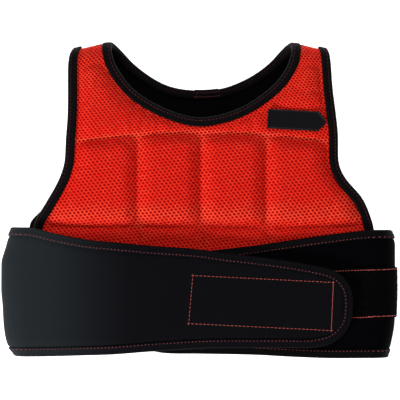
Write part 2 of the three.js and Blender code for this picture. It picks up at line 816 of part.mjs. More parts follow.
const paints = {
  mesh: { color: 0xc62016, roughness: 0.85, metalness: 0 },
  lining: { color: 0x0b0b0d, roughness: 0.9, metalness: 0 },
  tape: { color: 0x141417, roughness: 0.8, metalness: 0 },
  neoprene: { color: 0x1b1b20, roughness: 0.75, metalness: 0 },
  loop: { color: 0x050506, roughness: 0.95, metalness: 0 },
  rubber: { color: 0x101012, roughness: 0.5, metalness: 0 },
};
const vest = new THREE.Group();
vest.name = "weighted_vest";
const add = (name, geometry, paint) => {
  const mesh = new THREE.Mesh(geometry, new THREE.MeshStandardMaterial(paints[paint]));
  mesh.name = name;
  vest.add(mesh);
};
add("front_panel", frontPanel, "mesh");
add("back_panel", backPanel, "mesh");
add("back_lining", backLining, "lining");
add("neck_tape", neckTape, "tape");
add("neck_tape_lap", neckLap, "tape");
add("arm_tape_left", armTapeLeft, "tape");
add("arm_tape_right", armTapeRight, "tape");
add("belt_back", beltBack, "neoprene");
add("over_wing", wingBody(overWing), "neoprene");
add("over_wing_hem", wingHem(overWing), "tape");
add("under_wing", wingBody(underWing), "neoprene");
add("under_wing_hem", wingHem(underWing), "tape");
add("loop_strip", loopStrip, "loop");
add("hook_patch", hookPatch, "loop");
add("chest_tag", tag, "rubber");

export default vest;
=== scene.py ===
import bpy
import numpy as np
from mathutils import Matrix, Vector


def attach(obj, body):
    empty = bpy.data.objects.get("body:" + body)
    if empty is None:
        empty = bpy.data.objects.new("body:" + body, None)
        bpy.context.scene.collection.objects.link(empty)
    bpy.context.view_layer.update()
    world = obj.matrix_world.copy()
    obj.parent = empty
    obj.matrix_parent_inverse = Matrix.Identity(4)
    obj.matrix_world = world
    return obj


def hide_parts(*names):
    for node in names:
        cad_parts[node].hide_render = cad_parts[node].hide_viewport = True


# A weighted vest lying flat on its back. Lengths are millimetres until a mesh is made.
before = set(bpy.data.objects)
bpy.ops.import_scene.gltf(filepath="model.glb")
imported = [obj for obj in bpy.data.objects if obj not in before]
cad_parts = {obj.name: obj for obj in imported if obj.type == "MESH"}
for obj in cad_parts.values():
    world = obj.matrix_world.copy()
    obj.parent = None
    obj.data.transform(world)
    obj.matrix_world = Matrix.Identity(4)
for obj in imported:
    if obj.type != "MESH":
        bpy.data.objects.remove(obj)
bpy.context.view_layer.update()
print("frame loaded")

halfWide = 199.5
halfHigh = 158.5
foldRadius = 16.75
tapeHalf = 4.15
hemHalf = 2.75
foldY = halfHigh - foldRadius - tapeHalf
foldShare = foldY / halfHigh
foldCentre = tapeHalf + foldRadius
strapHeight = foldCentre + foldRadius
foldArc = np.pi * foldRadius
seamS = foldY + foldArc / 2
edgeThick = 4.0
beltThick = 4.0
beltFoldStart = 0.852 * halfWide
underOverFront = edgeThick / 2 + 3.5 + 0.6 + hemHalf
overOverUnder = beltThick + 1.8 + 1.2 + 1.2
footS = -0.9495 * halfHigh  # lower edge of the padded halves
frontDroop, droopReachShare = 6.0, 0.827
rng = np.random.default_rng(8532)

# Outlines and heights, in shares of the half sizes
frontSides = np.array([
    [-0.9495, -0.7644, 0.7945], [-0.8927, -0.8195, 0.8496], [-0.7918, -0.8296, 0.8647],
    [-0.306, -0.8346, 0.8672], [-0.2303, -0.8296, 0.8672], [-0.1735, -0.8246, 0.8647],
    [-0.1167, -0.807, 0.8496], [-0.0536, -0.7744, 0.8321], [0.0221, -0.7393, 0.7995],
    [0.0978, -0.7043, 0.7419], [0.1735, -0.6792, 0.7018], [0.2492, -0.6642, 0.6842],
    [0.4006, -0.6591, 0.6842], [0.5047, -0.6516, 0.6767], [0.6025, -0.6491, 0.6667],
    [0.7161, -0.6491, 0.6556], [foldShare, -0.6491, 0.6491], [foldShare + 0.09, -0.6441, 0.6441],
    [foldShare + 0.17, -0.619, 0.63],
])
frontNeck = np.array([
    [0.5047, 0.0025, 0.0025], [0.5142, -0.0576, 0.0652], [0.5331, -0.1078, 0.1328],
    [0.5621, -0.1729, 0.1955], [0.6025, -0.2381, 0.2607], [0.653, -0.3033, 0.3183],
    [0.7161, -0.3624, 0.3799], [0.776, -0.3955, 0.4216], [0.836, -0.4271, 0.4486],
    [foldShare, -0.441, 0.462], [foldShare + 0.09, -0.4546, 0.476], [foldShare + 0.17, -0.4536, 0.4702],
])
backSides = np.array([
    [-0.9495, -0.7494, 0.7794], [-0.8927, -0.7995, 0.8346], [-0.7918, -0.8145, 0.8496],
    [-0.306, -0.8246, 0.8521], [-0.2177, -0.834, 0.8521], [-0.1672, -0.856, 0.8471],
    [-0.123, -0.8296, 0.8346], [-0.0726, -0.7845, 0.8221], [-0.0032, -0.7419, 0.7945],
    [0.0978, -0.6892, 0.7243], [0.1735, -0.6642, 0.6892], [0.2492, -0.6491, 0.6692],
    [0.4006, -0.6441, 0.6692], [0.6025, -0.6341, 0.6516], [foldShare, -0.6291, 0.6341],
    [foldShare + 0.09, -0.6341, 0.6341], [foldShare + 0.17, -0.619, 0.63],
])
backNeck = np.array([
    [0.6814, 0.0025, 0.0025], [0.6909, -0.0977, 0.1078], [0.7142, -0.1704, 0.1679],
    [0.7539, -0.2331, 0.2406], [0.7886, -0.2732, 0.2882], [0.8297, -0.3183, 0.3333],
    [foldShare, -0.352, 0.37], [foldShare + 0.09, -0.415, 0.431], [foldShare + 0.17, -0.4536, 0.4702],
])
frontHeights = np.array([
    [-1, 0.955, 0.85], [-0.64, 1.008, 1], [-0.17, 1.021, 1], [0.19, 1.034, 0.67],
    [0.5, 1.034, 0.42], [0.69, 1.021, 0.17], [0.83, 1, 0], [1, 1, 0],
])
backHeights = np.array([[-1, 1], [-0.14, 1], [0, 0.5], [0.17, 0], [1, 0]])
overEdges = np.array([
    [-0.8521, -0.1735, -0.9874], [-0.7143, -0.2114, -0.9842], [-0.5539, -0.2492, -0.9779],
    [-0.4236, -0.265, -0.9716], [-0.2331, -0.2871, -0.9527], [0.0025, -0.3091, -0.9338],
    [0.1328, -0.3331, -0.9306], [0.2581, -0.3502, -0.9306], [0.4486, -0.3817, -0.9306],
    [0.5639, -0.4069, -0.9306], [0.6441, -0.429, -0.9117], [0.6892, -0.4543, -0.8833],
    [0.7263, -0.489, -0.8423], [0.7569, -0.5521, -0.776], [0.7664, -0.6215, -0.6909],
])
underEdges = np.array([
    [0.8521, -0.1893, -0.9968], [0.6441, -0.2177, -0.9968], [0.4486, -0.2524, -0.9874],
    [0.2581, -0.2871, -0.9748], [0.0025, -0.3249, -0.9685], [-0.1729, -0.3502, -0.9653],
    [-0.2581, -0.3817, -0.9432], [-0.2982, -0.4322, -0.9054],
])
sideFolds = np.array([
    [-1, 0.92, 0.945], [-0.8991, 0.9699, 0.9649], [-0.7855, 0.985, 0.9799], [-0.6719, 0.99, 0.984],
    [-0.5584, 0.9975, 0.986], [-0.4069, 0.9975, 0.985], [-0.2934, 0.9749, 0.985],
    [-0.205, 0.9549, 0.9699], [-0.1672, 0.9449, 0.9449],
])
wingClimb = np.array([[-0.8521, 0], [-0.7, 0.22], [-0.5, 0.6], [-0.34, 1], [1, 1]])


# Smooth curve through rows of a table: cubic pieces whose slopes are the harmonic mean of the
# slopes on either side, zero where those have opposite signs
def smoothRead(keys, values, at):
    keys, values = np.asarray(keys, float), np.asarray(values, float)
    if keys[0] > keys[-1]:
        keys, values = keys[::-1], values[::-1]
    step = np.diff(keys)
    lean = np.diff(values) / step
    inner = np.where(lean[1:] * lean[:-1] > 0, 2 * lean[1:] * lean[:-1] / (lean[1:] + lean[:-1] + 1e-12), 0)
    slope = np.concatenate([[lean[0]], inner, [lean[-1]]])
    at = np.clip(np.asarray(at, float), keys[0], keys[-1])
    k = np.clip(np.searchsorted(keys, at, side="right") - 1, 0, len(step) - 1)
    t = (at - keys[k]) / step[k]
    h = step[k]
    return (
        (2 * t**3 - 3 * t**2 + 1) * values[k]
        + (t**3 - 2 * t**2 + t) * h * slope[k]
        + (3 * t**2 - 2 * t**3) * values[k + 1]
        + (t**3 - t**2) * h * slope[k + 1]
    )


def readShare(table, column, at, unit):
    return smoothRead(table[:, 0], table[:, column], np.asarray(at, float) / unit)


# Place across of a line of an outline, at places along the vest
def acrossAt(table, column, s):
    return readShare(table, column, s, halfHigh) * halfWide


# Nought below the low value, one above the high one, an S curve between them
def easeStep(value, low, high):
    t = np.clip((value - low) / (high - low), 0, 1)
    return t * t * (3 - 2 * t)


# Height of the middle of the front half: a table along the vest less a parabola across it
def frontHeight(x, y):
    droop = readShare(frontHeights, 2, y, halfHigh) * frontDroop
    middle = readShare(frontHeights, 1, y, halfHigh) * strapHeight
    return middle - droop * (x / (droopReachShare * halfWide)) ** 2


def backHeight(y):
    return tapeHalf + (2 * hemHalf + 0.6) * readShare(backHeights, 1, y, halfHigh)


# Place of a point of the flat cloth: x across, s up the front, round a half circle over the
# shoulder and down the back, t outward from the middle of the cloth
def place(x, s, t):
    x, s, t = np.broadcast_arrays(np.asarray(x, float), np.asarray(s, float), np.asarray(t, float))
    turn = np.clip((s - foldY) / foldRadius, 0, np.pi)
    y = np.where(s > foldY, foldY + (foldRadius + t) * np.sin(turn), s)
    z = np.where(s > foldY, foldCentre + (foldRadius + t) * np.cos(turn), frontHeight(x, s) + t)
    after = s > foldY + foldArc
    backY = foldY - (s - foldY - foldArc)
    y = np.where(after, backY, y)
    z = np.where(after, backHeight(backY) - t, z)
    near = easeStep(y, 0.7 * halfHigh, 0.95 * halfHigh)
    return np.stack([x, y - 0.16 * np.maximum(0, np.abs(x) - 0.46 * halfWide) * near, z], -1)


def overShoulder(s):
    return foldY + foldArc - (s - foldY)


def backPlace(x, s, t):
    return place(x, overShoulder(s), t)


# Mesh object from points in millimetres, faces as index rows, and face materials
def makeObject(name, points, faces, materials, faceSlots=None, attributes=None):
    mesh = bpy.data.meshes.new(name)
    mesh.from_pydata((np.asarray(points, float) / 1000).tolist(), [], [list(map(int, f)) for f in faces])
    for material in materials:
        mesh.materials.append(material)
    if faceSlots is not None:
        mesh.polygons.foreach_set("material_index", np.asarray(faceSlots, np.int32))
    mesh.polygons.foreach_set("use_smooth", np.ones(len(mesh.polygons), bool))
    for key, values in (attributes or {}).items():
        layer = mesh.attributes.new(key, "FLOAT", "POINT")
        layer.data.foreach_set("value", np.asarray(values, np.float32))
    mesh.validate()
    mesh.update()
    piece = bpy.data.objects.new(name, mesh)
    bpy.context.scene.collection.objects.link(piece)
    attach(piece, "root")
    return piece


# Closed shell between two grids of points (rows, columns, 3), rims included
def shellMesh(outer, inner):
    rows, columns = outer.shape[:2]
    index = np.arange(rows * columns).reshape(rows, columns)
    a, b, c, d = index[:-1, :-1], index[:-1, 1:], index[1:, 1:], index[1:, :-1]
    top = np.stack([a, b, c, d], -1).reshape(-1, 4)
    count = rows * columns
    under = top[:, ::-1] + count
    rim = np.concatenate([index[0, :], index[1:, -1], index[-1, -2::-1], index[-2:0:-1, 0]])
    following = np.roll(rim, -1)
    wall = np.stack([following, rim, rim + count, following + count], -1)
    points = np.concatenate([outer.reshape(-1, 3), inner.reshape(-1, 3)])
    return points, np.concatenate([top, under, wall])


# Faces between rings of point numbers, each ring closed
def ringFaces(before, after):
    return np.stack([before, np.roll(before, -1, 1), np.roll(after, -1, 1), after], -1).reshape(-1, 4)


# Walls from the open edges of a sheet of cells to its other side, an open edge being one that
# no neighbour runs the other way
def edgeWalls(cell, count, offset):
    edge = np.stack([cell, np.roll(cell, -1, 1)], -1).reshape(-1, 2)
    code = edge[:, 0].astype(np.int64) * count + edge[:, 1]
    opposite = edge[:, 1].astype(np.int64) * count + edge[:, 0]
    edge = edge[~np.isin(code, opposite)]
    return np.stack([edge[:, 1], edge[:, 0], edge[:, 0] + offset, edge[:, 1] + offset], -1)


# Turn every face of a closed mesh the right way out, found from its signed volume
def facedOut(points, faces):
    f = np.asarray([(q[0], q[1], q[2]) for q in faces])
    p = np.asarray(points)
    volume = np.einsum("ij,ij->i", p[f[:, 0]], np.cross(p[f[:, 1]], p[f[:, 2]])).sum()
    if len(faces[0]) == 4:
        g = np.asarray([(q[0], q[2], q[3]) for q in faces if len(q) == 4])
        volume += np.einsum("ij,ij->i", p[g[:, 0]], np.cross(p[g[:, 1]], p[g[:, 2]])).sum()
    return faces if volume > 0 else [tuple(reversed(tuple(q))) for q in faces]


# Node helpers for the materials
def newMaterial(name, color, roughness, specular=0.5):
    material = bpy.data.materials.new(name)
    material.use_nodes = True
    nodes = material.node_tree.nodes
    shader = nodes["Principled BSDF"]
    shader.inputs["Base Color"].default_value = (*color, 1)
    shader.inputs["Roughness"].default_value = roughness
    shader.inputs["Specular IOR Level"].default_value = specular
    return material, nodes, material.node_tree.links, shader


def objectNoise(nodes, links, scale, detail=3.0, stretch=(1, 1, 1)):
    spot = nodes.new("ShaderNodeTexCoord")
    mapping = nodes.new("ShaderNodeMapping")
    mapping.inputs["Scale"].default_value = stretch
    links.new(spot.outputs["Object"], mapping.inputs["Vector"])
    noise = nodes.new("ShaderNodeTexNoise")
    noise.inputs["Scale"].default_value = scale
    noise.inputs["Detail"].default_value = detail
    links.new(mapping.outputs["Vector"], noise.inputs["Vector"])
    return noise.outputs["Fac"]


def mixColors(nodes, links, factor, first, second):
    mixer = nodes.new("ShaderNodeMix")
    mixer.data_type = "RGBA"
    links.new(factor, mixer.inputs[0])
    for socket, value in ((mixer.inputs[6], first), (mixer.inputs[7], second)):
        if isinstance(value, tuple):
            socket.default_value = (*value, 1)
        else:
            links.new(value, socket)
    return mixer.outputs[2]


def mathNode(nodes, links, operation, first, second):
    node = nodes.new("ShaderNodeMath")
    node.operation = operation
    for socket, value in ((node.inputs[0], first), (node.inputs[1], second)):
        if isinstance(value, (int, float)):
            socket.default_value = value
        else:
            links.new(value, socket)
    return node.outputs[0]


# Own value of the mesh, given point by point
def readAttribute(nodes, name):
    reader = nodes.new("ShaderNodeAttribute")
    reader.attribute_name = name
    return reader.outputs["Fac"]


def addBump(nodes, links, shader, height, strength, distance):
    bump = nodes.new("ShaderNodeBump")
    bump.inputs["Strength"].default_value = strength
    bump.inputs["Distance"].default_value = distance
    links.new(height, bump.inputs["Height"])
    links.new(bump.outputs["Normal"], shader.inputs["Normal"])


meshLook = {
    "strand": (0.84, 0.030, 0.012),
    "worn": (0.70, 0.017, 0.007),
    # Paler strands: partly stretched mesh, partly painted highlight
    "paleAndLit": (1.0, 0.15, 0.065),
    # Inner and pit tones: painted shade darkening the strands down into each pit
    "inner": (0.53, 0.0040, 0.0024),
    "pit": (0.17, 0.0004, 0.0004),
    "roughness": 0.62,
    "shine": 0.05,
    "grain": 2600.0,
}


# Strands in two tones, paler where the mesh is stretched and where a highlight is painted, darkening as
# painted shade to the bottom of each pit
def orangeMesh():
    made = newMaterial("orangeMesh", meshLook["strand"], meshLook["roughness"], meshLook["shine"])
    material, nodes, links, shader = made
    broad = objectNoise(nodes, links, 45.0, 4.0)
    fine = objectNoise(nodes, links, meshLook["grain"], 2.0, (1, 0.35, 1))
    strand = mixColors(nodes, links, broad, meshLook["strand"], meshLook["worn"])
    depth, stretchLit = readAttribute(nodes, "pit"), readAttribute(nodes, "paleAndLit")
    # Paler strands where the mesh is stretched and where a highlight is painted
    strand = mixColors(nodes, links, stretchLit, strand, meshLook["paleAndLit"])
    # Painted shade: the pit value darkens the strands to the inner tone at the rim and to the pit tone at
    # the bottom
    twice = mathNode(nodes, links, "MULTIPLY", depth, 2.0)
    upper = mathNode(nodes, links, "MINIMUM", twice, 1.0)
    lower = mathNode(nodes, links, "MAXIMUM", mathNode(nodes, links, "SUBTRACT", twice, 1.0), 0.0)
    color = mixColors(nodes, links, upper, strand, meshLook["inner"])
    color = mixColors(nodes, links, lower, color, meshLook["pit"])
    links.new(color, shader.inputs["Base Color"])
    addBump(nodes, links, shader, fine, 0.35, 0.0002)
    return material


neopreneLook = {
    "face": (0.0006, 0.0006, 0.0016),
    "worn": (0.0020, 0.0020, 0.0034),
    # Painted light: the paler colour mixed in towards the left end of the belt
    "paleAndLit": (0.0110, 0.0140, 0.0165),
    "dust": (0.05, 0.055, 0.06),
    "dustFrom": 0.735,
    "dustShare": 0.25,
    # Painted light: the ramp along x, in metres, over which the belt pales towards its left end
    "litFrom": -0.055,
    "litTo": -0.19,
    "roughness": 0.75,
    "knit": 1500.0,
}


# Black with a knit grain and a little dust, paler towards the left end of the belt by a gradient of painted
# light; the second argument scales the worn tone down for a copy with painted shade
def blackNeoprene(name, shadeDim, shine):
    worn = tuple(shadeDim * v for v in neopreneLook["worn"])
    made = newMaterial(name, neopreneLook["face"], neopreneLook["roughness"], shine)
    material, nodes, links, shader = made
    broad = objectNoise(nodes, links, 9.0, 5.0)
    specks = objectNoise(nodes, links, 900.0, 2.0)
    knit = objectNoise(nodes, links, neopreneLook["knit"], 1.0, (1, 0.5, 1))
    dust = mathNode(nodes, links, "GREATER_THAN", specks, neopreneLook["dustFrom"])
    color = mixColors(nodes, links, broad, neopreneLook["face"], worn)
    spot = nodes.new("ShaderNodeTexCoord")
    parts = nodes.new("ShaderNodeSeparateXYZ")
    links.new(spot.outputs["Object"], parts.inputs["Vector"])
    # Painted light: a ramp along x that pales the belt towards its left end
    litLeft = nodes.new("ShaderNodeMapRange")
    litLeft.interpolation_type = "SMOOTHERSTEP"
    litLeft.inputs["From Min"].default_value = neopreneLook["litFrom"]
    litLeft.inputs["From Max"].default_value = neopreneLook["litTo"]
    links.new(parts.outputs["X"], litLeft.inputs["Value"])
    color = mixColors(nodes, links, litLeft.outputs["Result"], color, neopreneLook["paleAndLit"])
    amount = mathNode(nodes, links, "MULTIPLY", dust, neopreneLook["dustShare"])
    color = mixColors(nodes, links, amount, color, neopreneLook["dust"])
    links.new(color, shader.inputs["Base Color"])
    addBump(nodes, links, shader, knit, 0.25, 0.00012)
    return material


# Looks of the tapes, bands, tag and threads: two tones mixed by a broad noise over a fine weave
clothLooks = {
    "lining": {
        "base": (0.0006, 0.0006, 0.0007), "worn": (0.0014, 0.0014, 0.0016),
        "roughness": 0.95, "grain": 900.0, "shine": 0.03,
    },
    "tape": {
        "base": (0.0004, 0.0003, 0.0007), "worn": (0.0017, 0.0011, 0.0016),
        "roughness": 0.7, "grain": 1400.0, "shine": 0.06,
    },
    "loop": {
        "base": (0.0003, 0.0003, 0.0004), "worn": (0.0010, 0.0010, 0.0013),
        "roughness": 0.97, "grain": 1900.0, "shine": 0.03,
    },
    "hook": {
        "base": (0.002, 0.002, 0.002), "worn": (0.004, 0.004, 0.004),
        "roughness": 0.5, "grain": 1200.0, "shine": 0.2,
    },
    "rubber": {
        "base": (0.0003, 0.0003, 0.0009), "worn": (0.0012, 0.0012, 0.0022),
        "roughness": 0.5, "grain": 300.0, "shine": 0.12,
    },
    "rimRubber": {
        "base": (0.0030, 0.0030, 0.0050), "worn": (0.0055, 0.0055, 0.0085),
        "roughness": 0.5, "grain": 300.0, "shine": 0.15,
    },
    "thread": {
        "base": (0.46, 0.095, 0.075), "worn": (0.22, 0.035, 0.030),
        "roughness": 0.6, "grain": 4000.0, "shine": 0.2,
    },
    "hemThread": {
        "base": (0.30, 0.060, 0.070), "worn": (0.08, 0.014, 0.018),
        "roughness": 0.7, "grain": 4000.0, "shine": 0.15,
    },
    "dimThread": {
        "base": (0.17, 0.022, 0.022), "worn": (0.016, 0.003, 0.005),
        "roughness": 0.7, "grain": 4000.0, "shine": 0.15,
    },
}
tuftTone = (0.0075, 0.0075, 0.0085)  # loose ends in the loop strip


def clothMaterial(name):
    look = clothLooks[name]
    made = newMaterial(name + "Cloth", look["base"], look["roughness"], look["shine"])
    material, nodes, links, shader = made
    broad = objectNoise(nodes, links, 30.0, 4.0)
    weave = nodes.new("ShaderNodeTexWave")
    weave.wave_type = "BANDS"
    weave.bands_direction = "DIAGONAL"
    weave.inputs["Scale"].default_value = look["grain"] / 3
    weave.inputs["Distortion"].default_value = 2.0
    spot = nodes.new("ShaderNodeTexCoord")
    links.new(spot.outputs["Object"], weave.inputs["Vector"])
    fine = objectNoise(nodes, links, look["grain"], 2.0)
    both = mathNode(nodes, links, "ADD", weave.outputs["Fac"], fine)
    color = mixColors(nodes, links, broad, look["base"], look["worn"])
    if name == "loop":
        specks = mathNode(nodes, links, "GREATER_THAN", objectNoise(nodes, links, 1300.0, 1.0), 0.66)
        color = mixColors(nodes, links, specks, color, tuftTone)
    links.new(color, shader.inputs["Base Color"])
    addBump(nodes, links, shader, both, 0.3, 0.00015)
    return material


orange = orangeMesh()
neoprene = blackNeoprene("blackNeoprene", 1.0, 0.06)
# A copy with its worn tone darkened as painted shade, for the lower wing on the side away from the light
shadedNeoprene = blackNeoprene("shadedNeoprene", 0.3, 0.02)
cloths = {name: clothMaterial(name) for name in clothLooks}
lining, tape, loop, hook = [cloths[name] for name in ("lining", "tape", "loop", "hook")]
rubber, rimRubber = cloths["rubber"], cloths["rimRubber"]
thread, hemThread, dimThread = [cloths[name] for name in ("thread", "hemThread", "dimThread")]
print("materials made")

# The pockets: places of their seams across and along the cloth
pocketLook = {
    "seamsX": (-62.0, 1.5, 66.5),
    "topSeam": 66.5,
    "topSeamSide": 57.0,
    "archReach": 131.0,
    "bottomSeam": -27.5,
    "push": 5.2,
    "base": 3.1,
    "groove": 1.1,
    "pressure": 2.4,
    "slack": 0.04,
    "most": 3.9,
}


# Height of the seam above the pockets: an arch across the vest
def topSeamY(x):
    arch = pocketLook["topSeam"] - pocketLook["topSeamSide"]
    return pocketLook["topSeamSide"] + arch * np.clip(1 - (x / pocketLook["archReach"]) ** 2, 0, 1)


# Distance to the nearest upright seam of the pockets
def seamAway(x):
    return np.min([np.abs(x - p) for p in pocketLook["seamsX"]], axis=0)


# Distance to the nearer of the seams above and below the pockets
def levelAway(x, s):
    return np.minimum(np.abs(s - topSeamY(x)), np.abs(s - pocketLook["bottomSeam"]))


# An even grid over the flat cloth
gridStep = 3.0
gridX = np.arange(-180.0, 183.0, gridStep)
gridS = np.arange(-156.0, foldY + 2.0, gridStep)


# Value of a grid of vectors between its points, straight lines both ways
def sampleGrid(values, x, s):
    u = np.clip((x - gridX[0]) / gridStep, 0, len(gridX) - 1.001)
    v = np.clip((s - gridS[0]) / gridStep, 0, len(gridS) - 1.001)
    i, j = u.astype(int), v.astype(int)
    fu, fv = (u - i)[..., None], (v - j)[..., None]
    return (
        values[j, i] * (1 - fu) * (1 - fv)
        + values[j, i + 1] * fu * (1 - fv)
        + values[j + 1, i] * (1 - fu) * fv
        + values[j + 1, i + 1] * fu * fv
    )


# Distance from each point of the grid to the neck edge
def neckDistance(neck):
    heights = np.linspace(neck[0, 0], 1.0, 90)
    edge = np.concatenate([
        np.stack([smoothRead(neck[:, 0], neck[:, side], heights) * halfWide, heights * halfHigh], -1)
        for side in (1, 2)
    ])
    gx, gs = np.meshgrid(gridX, gridS)
    return np.min(np.hypot(gx[..., None] - edge[:, 0], gs[..., None] - edge[:, 1]), axis=-1)[..., None]


frontNeckField, backNeckField = neckDistance(frontNeck), neckDistance(backNeck)


# How the padding thins out: nothing at the first distance from an edge or seam, full at the second
fullLook = {
    "side": (8.5, 26),
    "neck": (8.5, 24),
    "footAt": -151,
    "foot": (7, 24),
    "seam": (0, 15),
    "level": (0, 13),
    "chest": (0, 12),
    "chestShare": 0.62,
    "squeeze": 0.5,
    "squeezeFrom": (20, 45),
}


# How full the padding is: one over a pocket, falling to nothing at its seams and edges
def fullness(x, s, sides, neckField):
    left, right = acrossAt(sides, 1, s), acrossAt(sides, 2, s)
    edge = np.minimum(x - left, right - x)
    byNeck = sampleGrid(neckField, x, s)[..., 0]
    fall = easeStep(edge, *fullLook["side"]) * easeStep(byNeck, *fullLook["neck"])
    fall = fall * easeStep(s - fullLook["footAt"], *fullLook["foot"])
    above = s > topSeamY(x)
    chest = easeStep(np.abs(s - topSeamY(x)), *fullLook["chest"]) * fullLook["chestShare"]
    pocket = easeStep(seamAway(x), *fullLook["seam"]) * easeStep(levelAway(x, s), *fullLook["level"])
    valley = np.where(above, chest, pocket)
    squeeze = 1 - fullLook["squeeze"] * easeStep(-s, *fullLook["squeezeFrom"])
    return fall * valley * squeeze


def frontFull(x, s):
    return fullness(x, s, frontSides, frontNeckField)


def backFull(x, s):
    return fullness(x, s, backSides, backNeckField)


# The outer cloth of the front: an even grid lying along it, with slack, held at its seams and
# edges and blown out by pressure in a cloth simulation at ten times the size. It rises too far
# there, so a tanh curve holds the rise under "most".
def puffCloth():
    gx, gs = np.meshgrid(gridX, gridS)
    start = place(gx, gs, edgeThick / 2)
    rows, columns = gx.shape
    index = np.arange(rows * columns).reshape(rows, columns)
    faces = np.stack([index[:-1, :-1], index[:-1, 1:], index[1:, 1:], index[1:, :-1]], -1).reshape(-1, 4)
    mesh = bpy.data.meshes.new("puffCloth")
    mesh.from_pydata((start.reshape(-1, 3) / 1000 * 10).tolist(), [], faces.tolist())
    sheet = bpy.data.objects.new("puffCloth", mesh)
    bpy.context.scene.collection.objects.link(sheet)
    full = frontFull(gx, gs).ravel()
    seam, level = seamAway(gx).ravel(), levelAway(gx, gs).ravel()
    below = (gs < topSeamY(gx)).ravel()
    heldBand = 1.6
    held = (full <= 0.0) | ((seam < heldBand) & below) | (level < heldBand)
    group = sheet.vertex_groups.new(name="held")
    group.add(np.nonzero(held)[0].tolist(), 1.0, "REPLACE")
    cloth = sheet.modifiers.new("cloth", "CLOTH")
    settings = cloth.settings
    settings.quality = 6
    settings.mass = 0.25
    settings.tension_stiffness = 12
    settings.compression_stiffness = 8
    settings.shear_stiffness = 4
    settings.bending_stiffness = 0.4
    settings.shrink_min = -pocketLook["slack"]
    settings.use_pressure = True
    settings.uniform_pressure_force = pocketLook["pressure"]
    settings.vertex_group_mass = "held"
    settings.effector_weights.gravity = 0.2
    cloth.collision_settings.use_collision = False
    cloth.collision_settings.use_self_collision = False
    cloth.point_cache.frame_start = 1
    cloth.point_cache.frame_end = 40
    scene = bpy.context.scene
    for step in range(1, 41):
        scene.frame_set(step)
    done = sheet.evaluated_get(bpy.context.evaluated_depsgraph_get())
    co = np.zeros(rows * columns * 3)
    done.data.vertices.foreach_get("co", co)
    scene.frame_set(1)
    bpy.data.objects.remove(sheet)
    moved = co.reshape(rows, columns, 3) * 1000 / 10 - start
    print("cloth simulated: highest rise", round(float(moved[..., 2].max()), 2), "mm")
    tooHigh = np.maximum(moved[..., 2] / pocketLook["most"], 1e-6)
    return moved * (np.tanh(tooHigh) / tooHigh)[..., None]


puff = puffCloth()


# One over the tag and a little round it, where the cloth is held flat
def nearTag(x, s):
    return (1 - easeStep(np.abs(x - 94), 24, 40)) * (1 - easeStep(np.abs(s - 79), 9, 22))


# How the front lies: pressed under the belt, sunk at its seams, flat behind the tag
frontLook = {
    "underBelt": 0.42,
    "beltEdge": (-46, -24),
    "grooveWide": 2.2,
    "grooveEnd": 125,
    "byTag": 0.85,
}


# Outer surface of the front: the place on the cloth, pushed out by the fullness, sunk by a bell
# curve at the seams, plus what the simulation moved it
def frontOuter(x, s, t):
    x, s = np.asarray(x, float), np.asarray(s, float)
    pressed = frontLook["underBelt"]
    under = pressed + (1 - pressed) * easeStep(s, *frontLook["beltEdge"])
    seam = seamAway(x) + 9 * easeStep(s, topSeamY(x) - 2, topSeamY(x))
    within = easeStep(frontFull(x, np.minimum(s, 30.0)), -0.1, 0.02)
    groove = np.exp(-((np.minimum(seam, levelAway(x, s)) / frontLook["grooveWide"]) ** 2))
    sunk = pocketLook["groove"] * groove * easeStep(frontLook["grooveEnd"] - np.abs(x), 0, 12) * within
    base = place(x, s, edgeThick / 2 + pocketLook["base"] * frontFull(x, s) * under - sunk + t)
    loose = under * (1 - easeStep(s, foldY - 8, foldY)) * (1 - frontLook["byTag"] * nearTag(x, s))
    loose = loose * easeStep(frontFull(x, s), 0.0, 0.1)
    return base + sampleGrid(puff, x, np.minimum(s, foldY)) * loose[..., None]


# Knitted spacer mesh: a staggered lattice of six-sided cells. Each has a ridge on its six
# edges, a rim inside them and a pit down to one point; cells under the belt are left plain
airMeshLook = {
    "pitchX": 4.1,
    "pitchY": 2.95,
    "turnDegrees": 7.0,
    "rim": 0.65,
    "rowDegrees": -47.0,
    "drawnAlong": 0.17,
    "drawnAcross": -0.13,
    "rimDrop": 0.22,
    "rimShade": 0.52,
    "pit": 1.5,
    "jitter": 0.07,
    "uneven": 0.16,
}


# Where the strands are painted paler: above the seam over the pockets, where the mesh is stretched and
# catches the light, and as painted highlight at the foot of each pocket, a spot at the right side, the top
# of each upright seam, down the left side of each pocket and on the shoulders
def stretchAndHighlight(x, s):
    d = s - topSeamY(x)
    seam = 0.75 * np.exp(-(((d - 1.2) / 2.0) ** 2))
    corner = np.min([np.hypot((x - p) / 6, (d + 4) / 9) for p in pocketLook["seamsX"]], axis=0)
    foot = 0.45 * np.exp(-(((s + 14) / 10) ** 2))
    foot = foot + 0.3 * np.exp(-((((x - 148) / 14) ** 2) + ((s - 2) / 9) ** 2))
    side = 0.16 * np.exp(-((seamAway(x - 3.5) / 5) ** 2)) * easeStep(-d, 0, 8)
    return np.clip(seam + 0.35 * np.exp(-(corner**2)) + foot + side + 0.22 * easeStep(s, 75, 125), 0, 1)


# The mesh drawn together towards the shoulders: rows and columns come closer there
def drawnIn(x, s):
    g = np.maximum(s - 45, 0)
    return x * (1 - 0.14 * g**2 / (g**2 + 60**2)), s - 0.2 * g**2 / (g + 60)


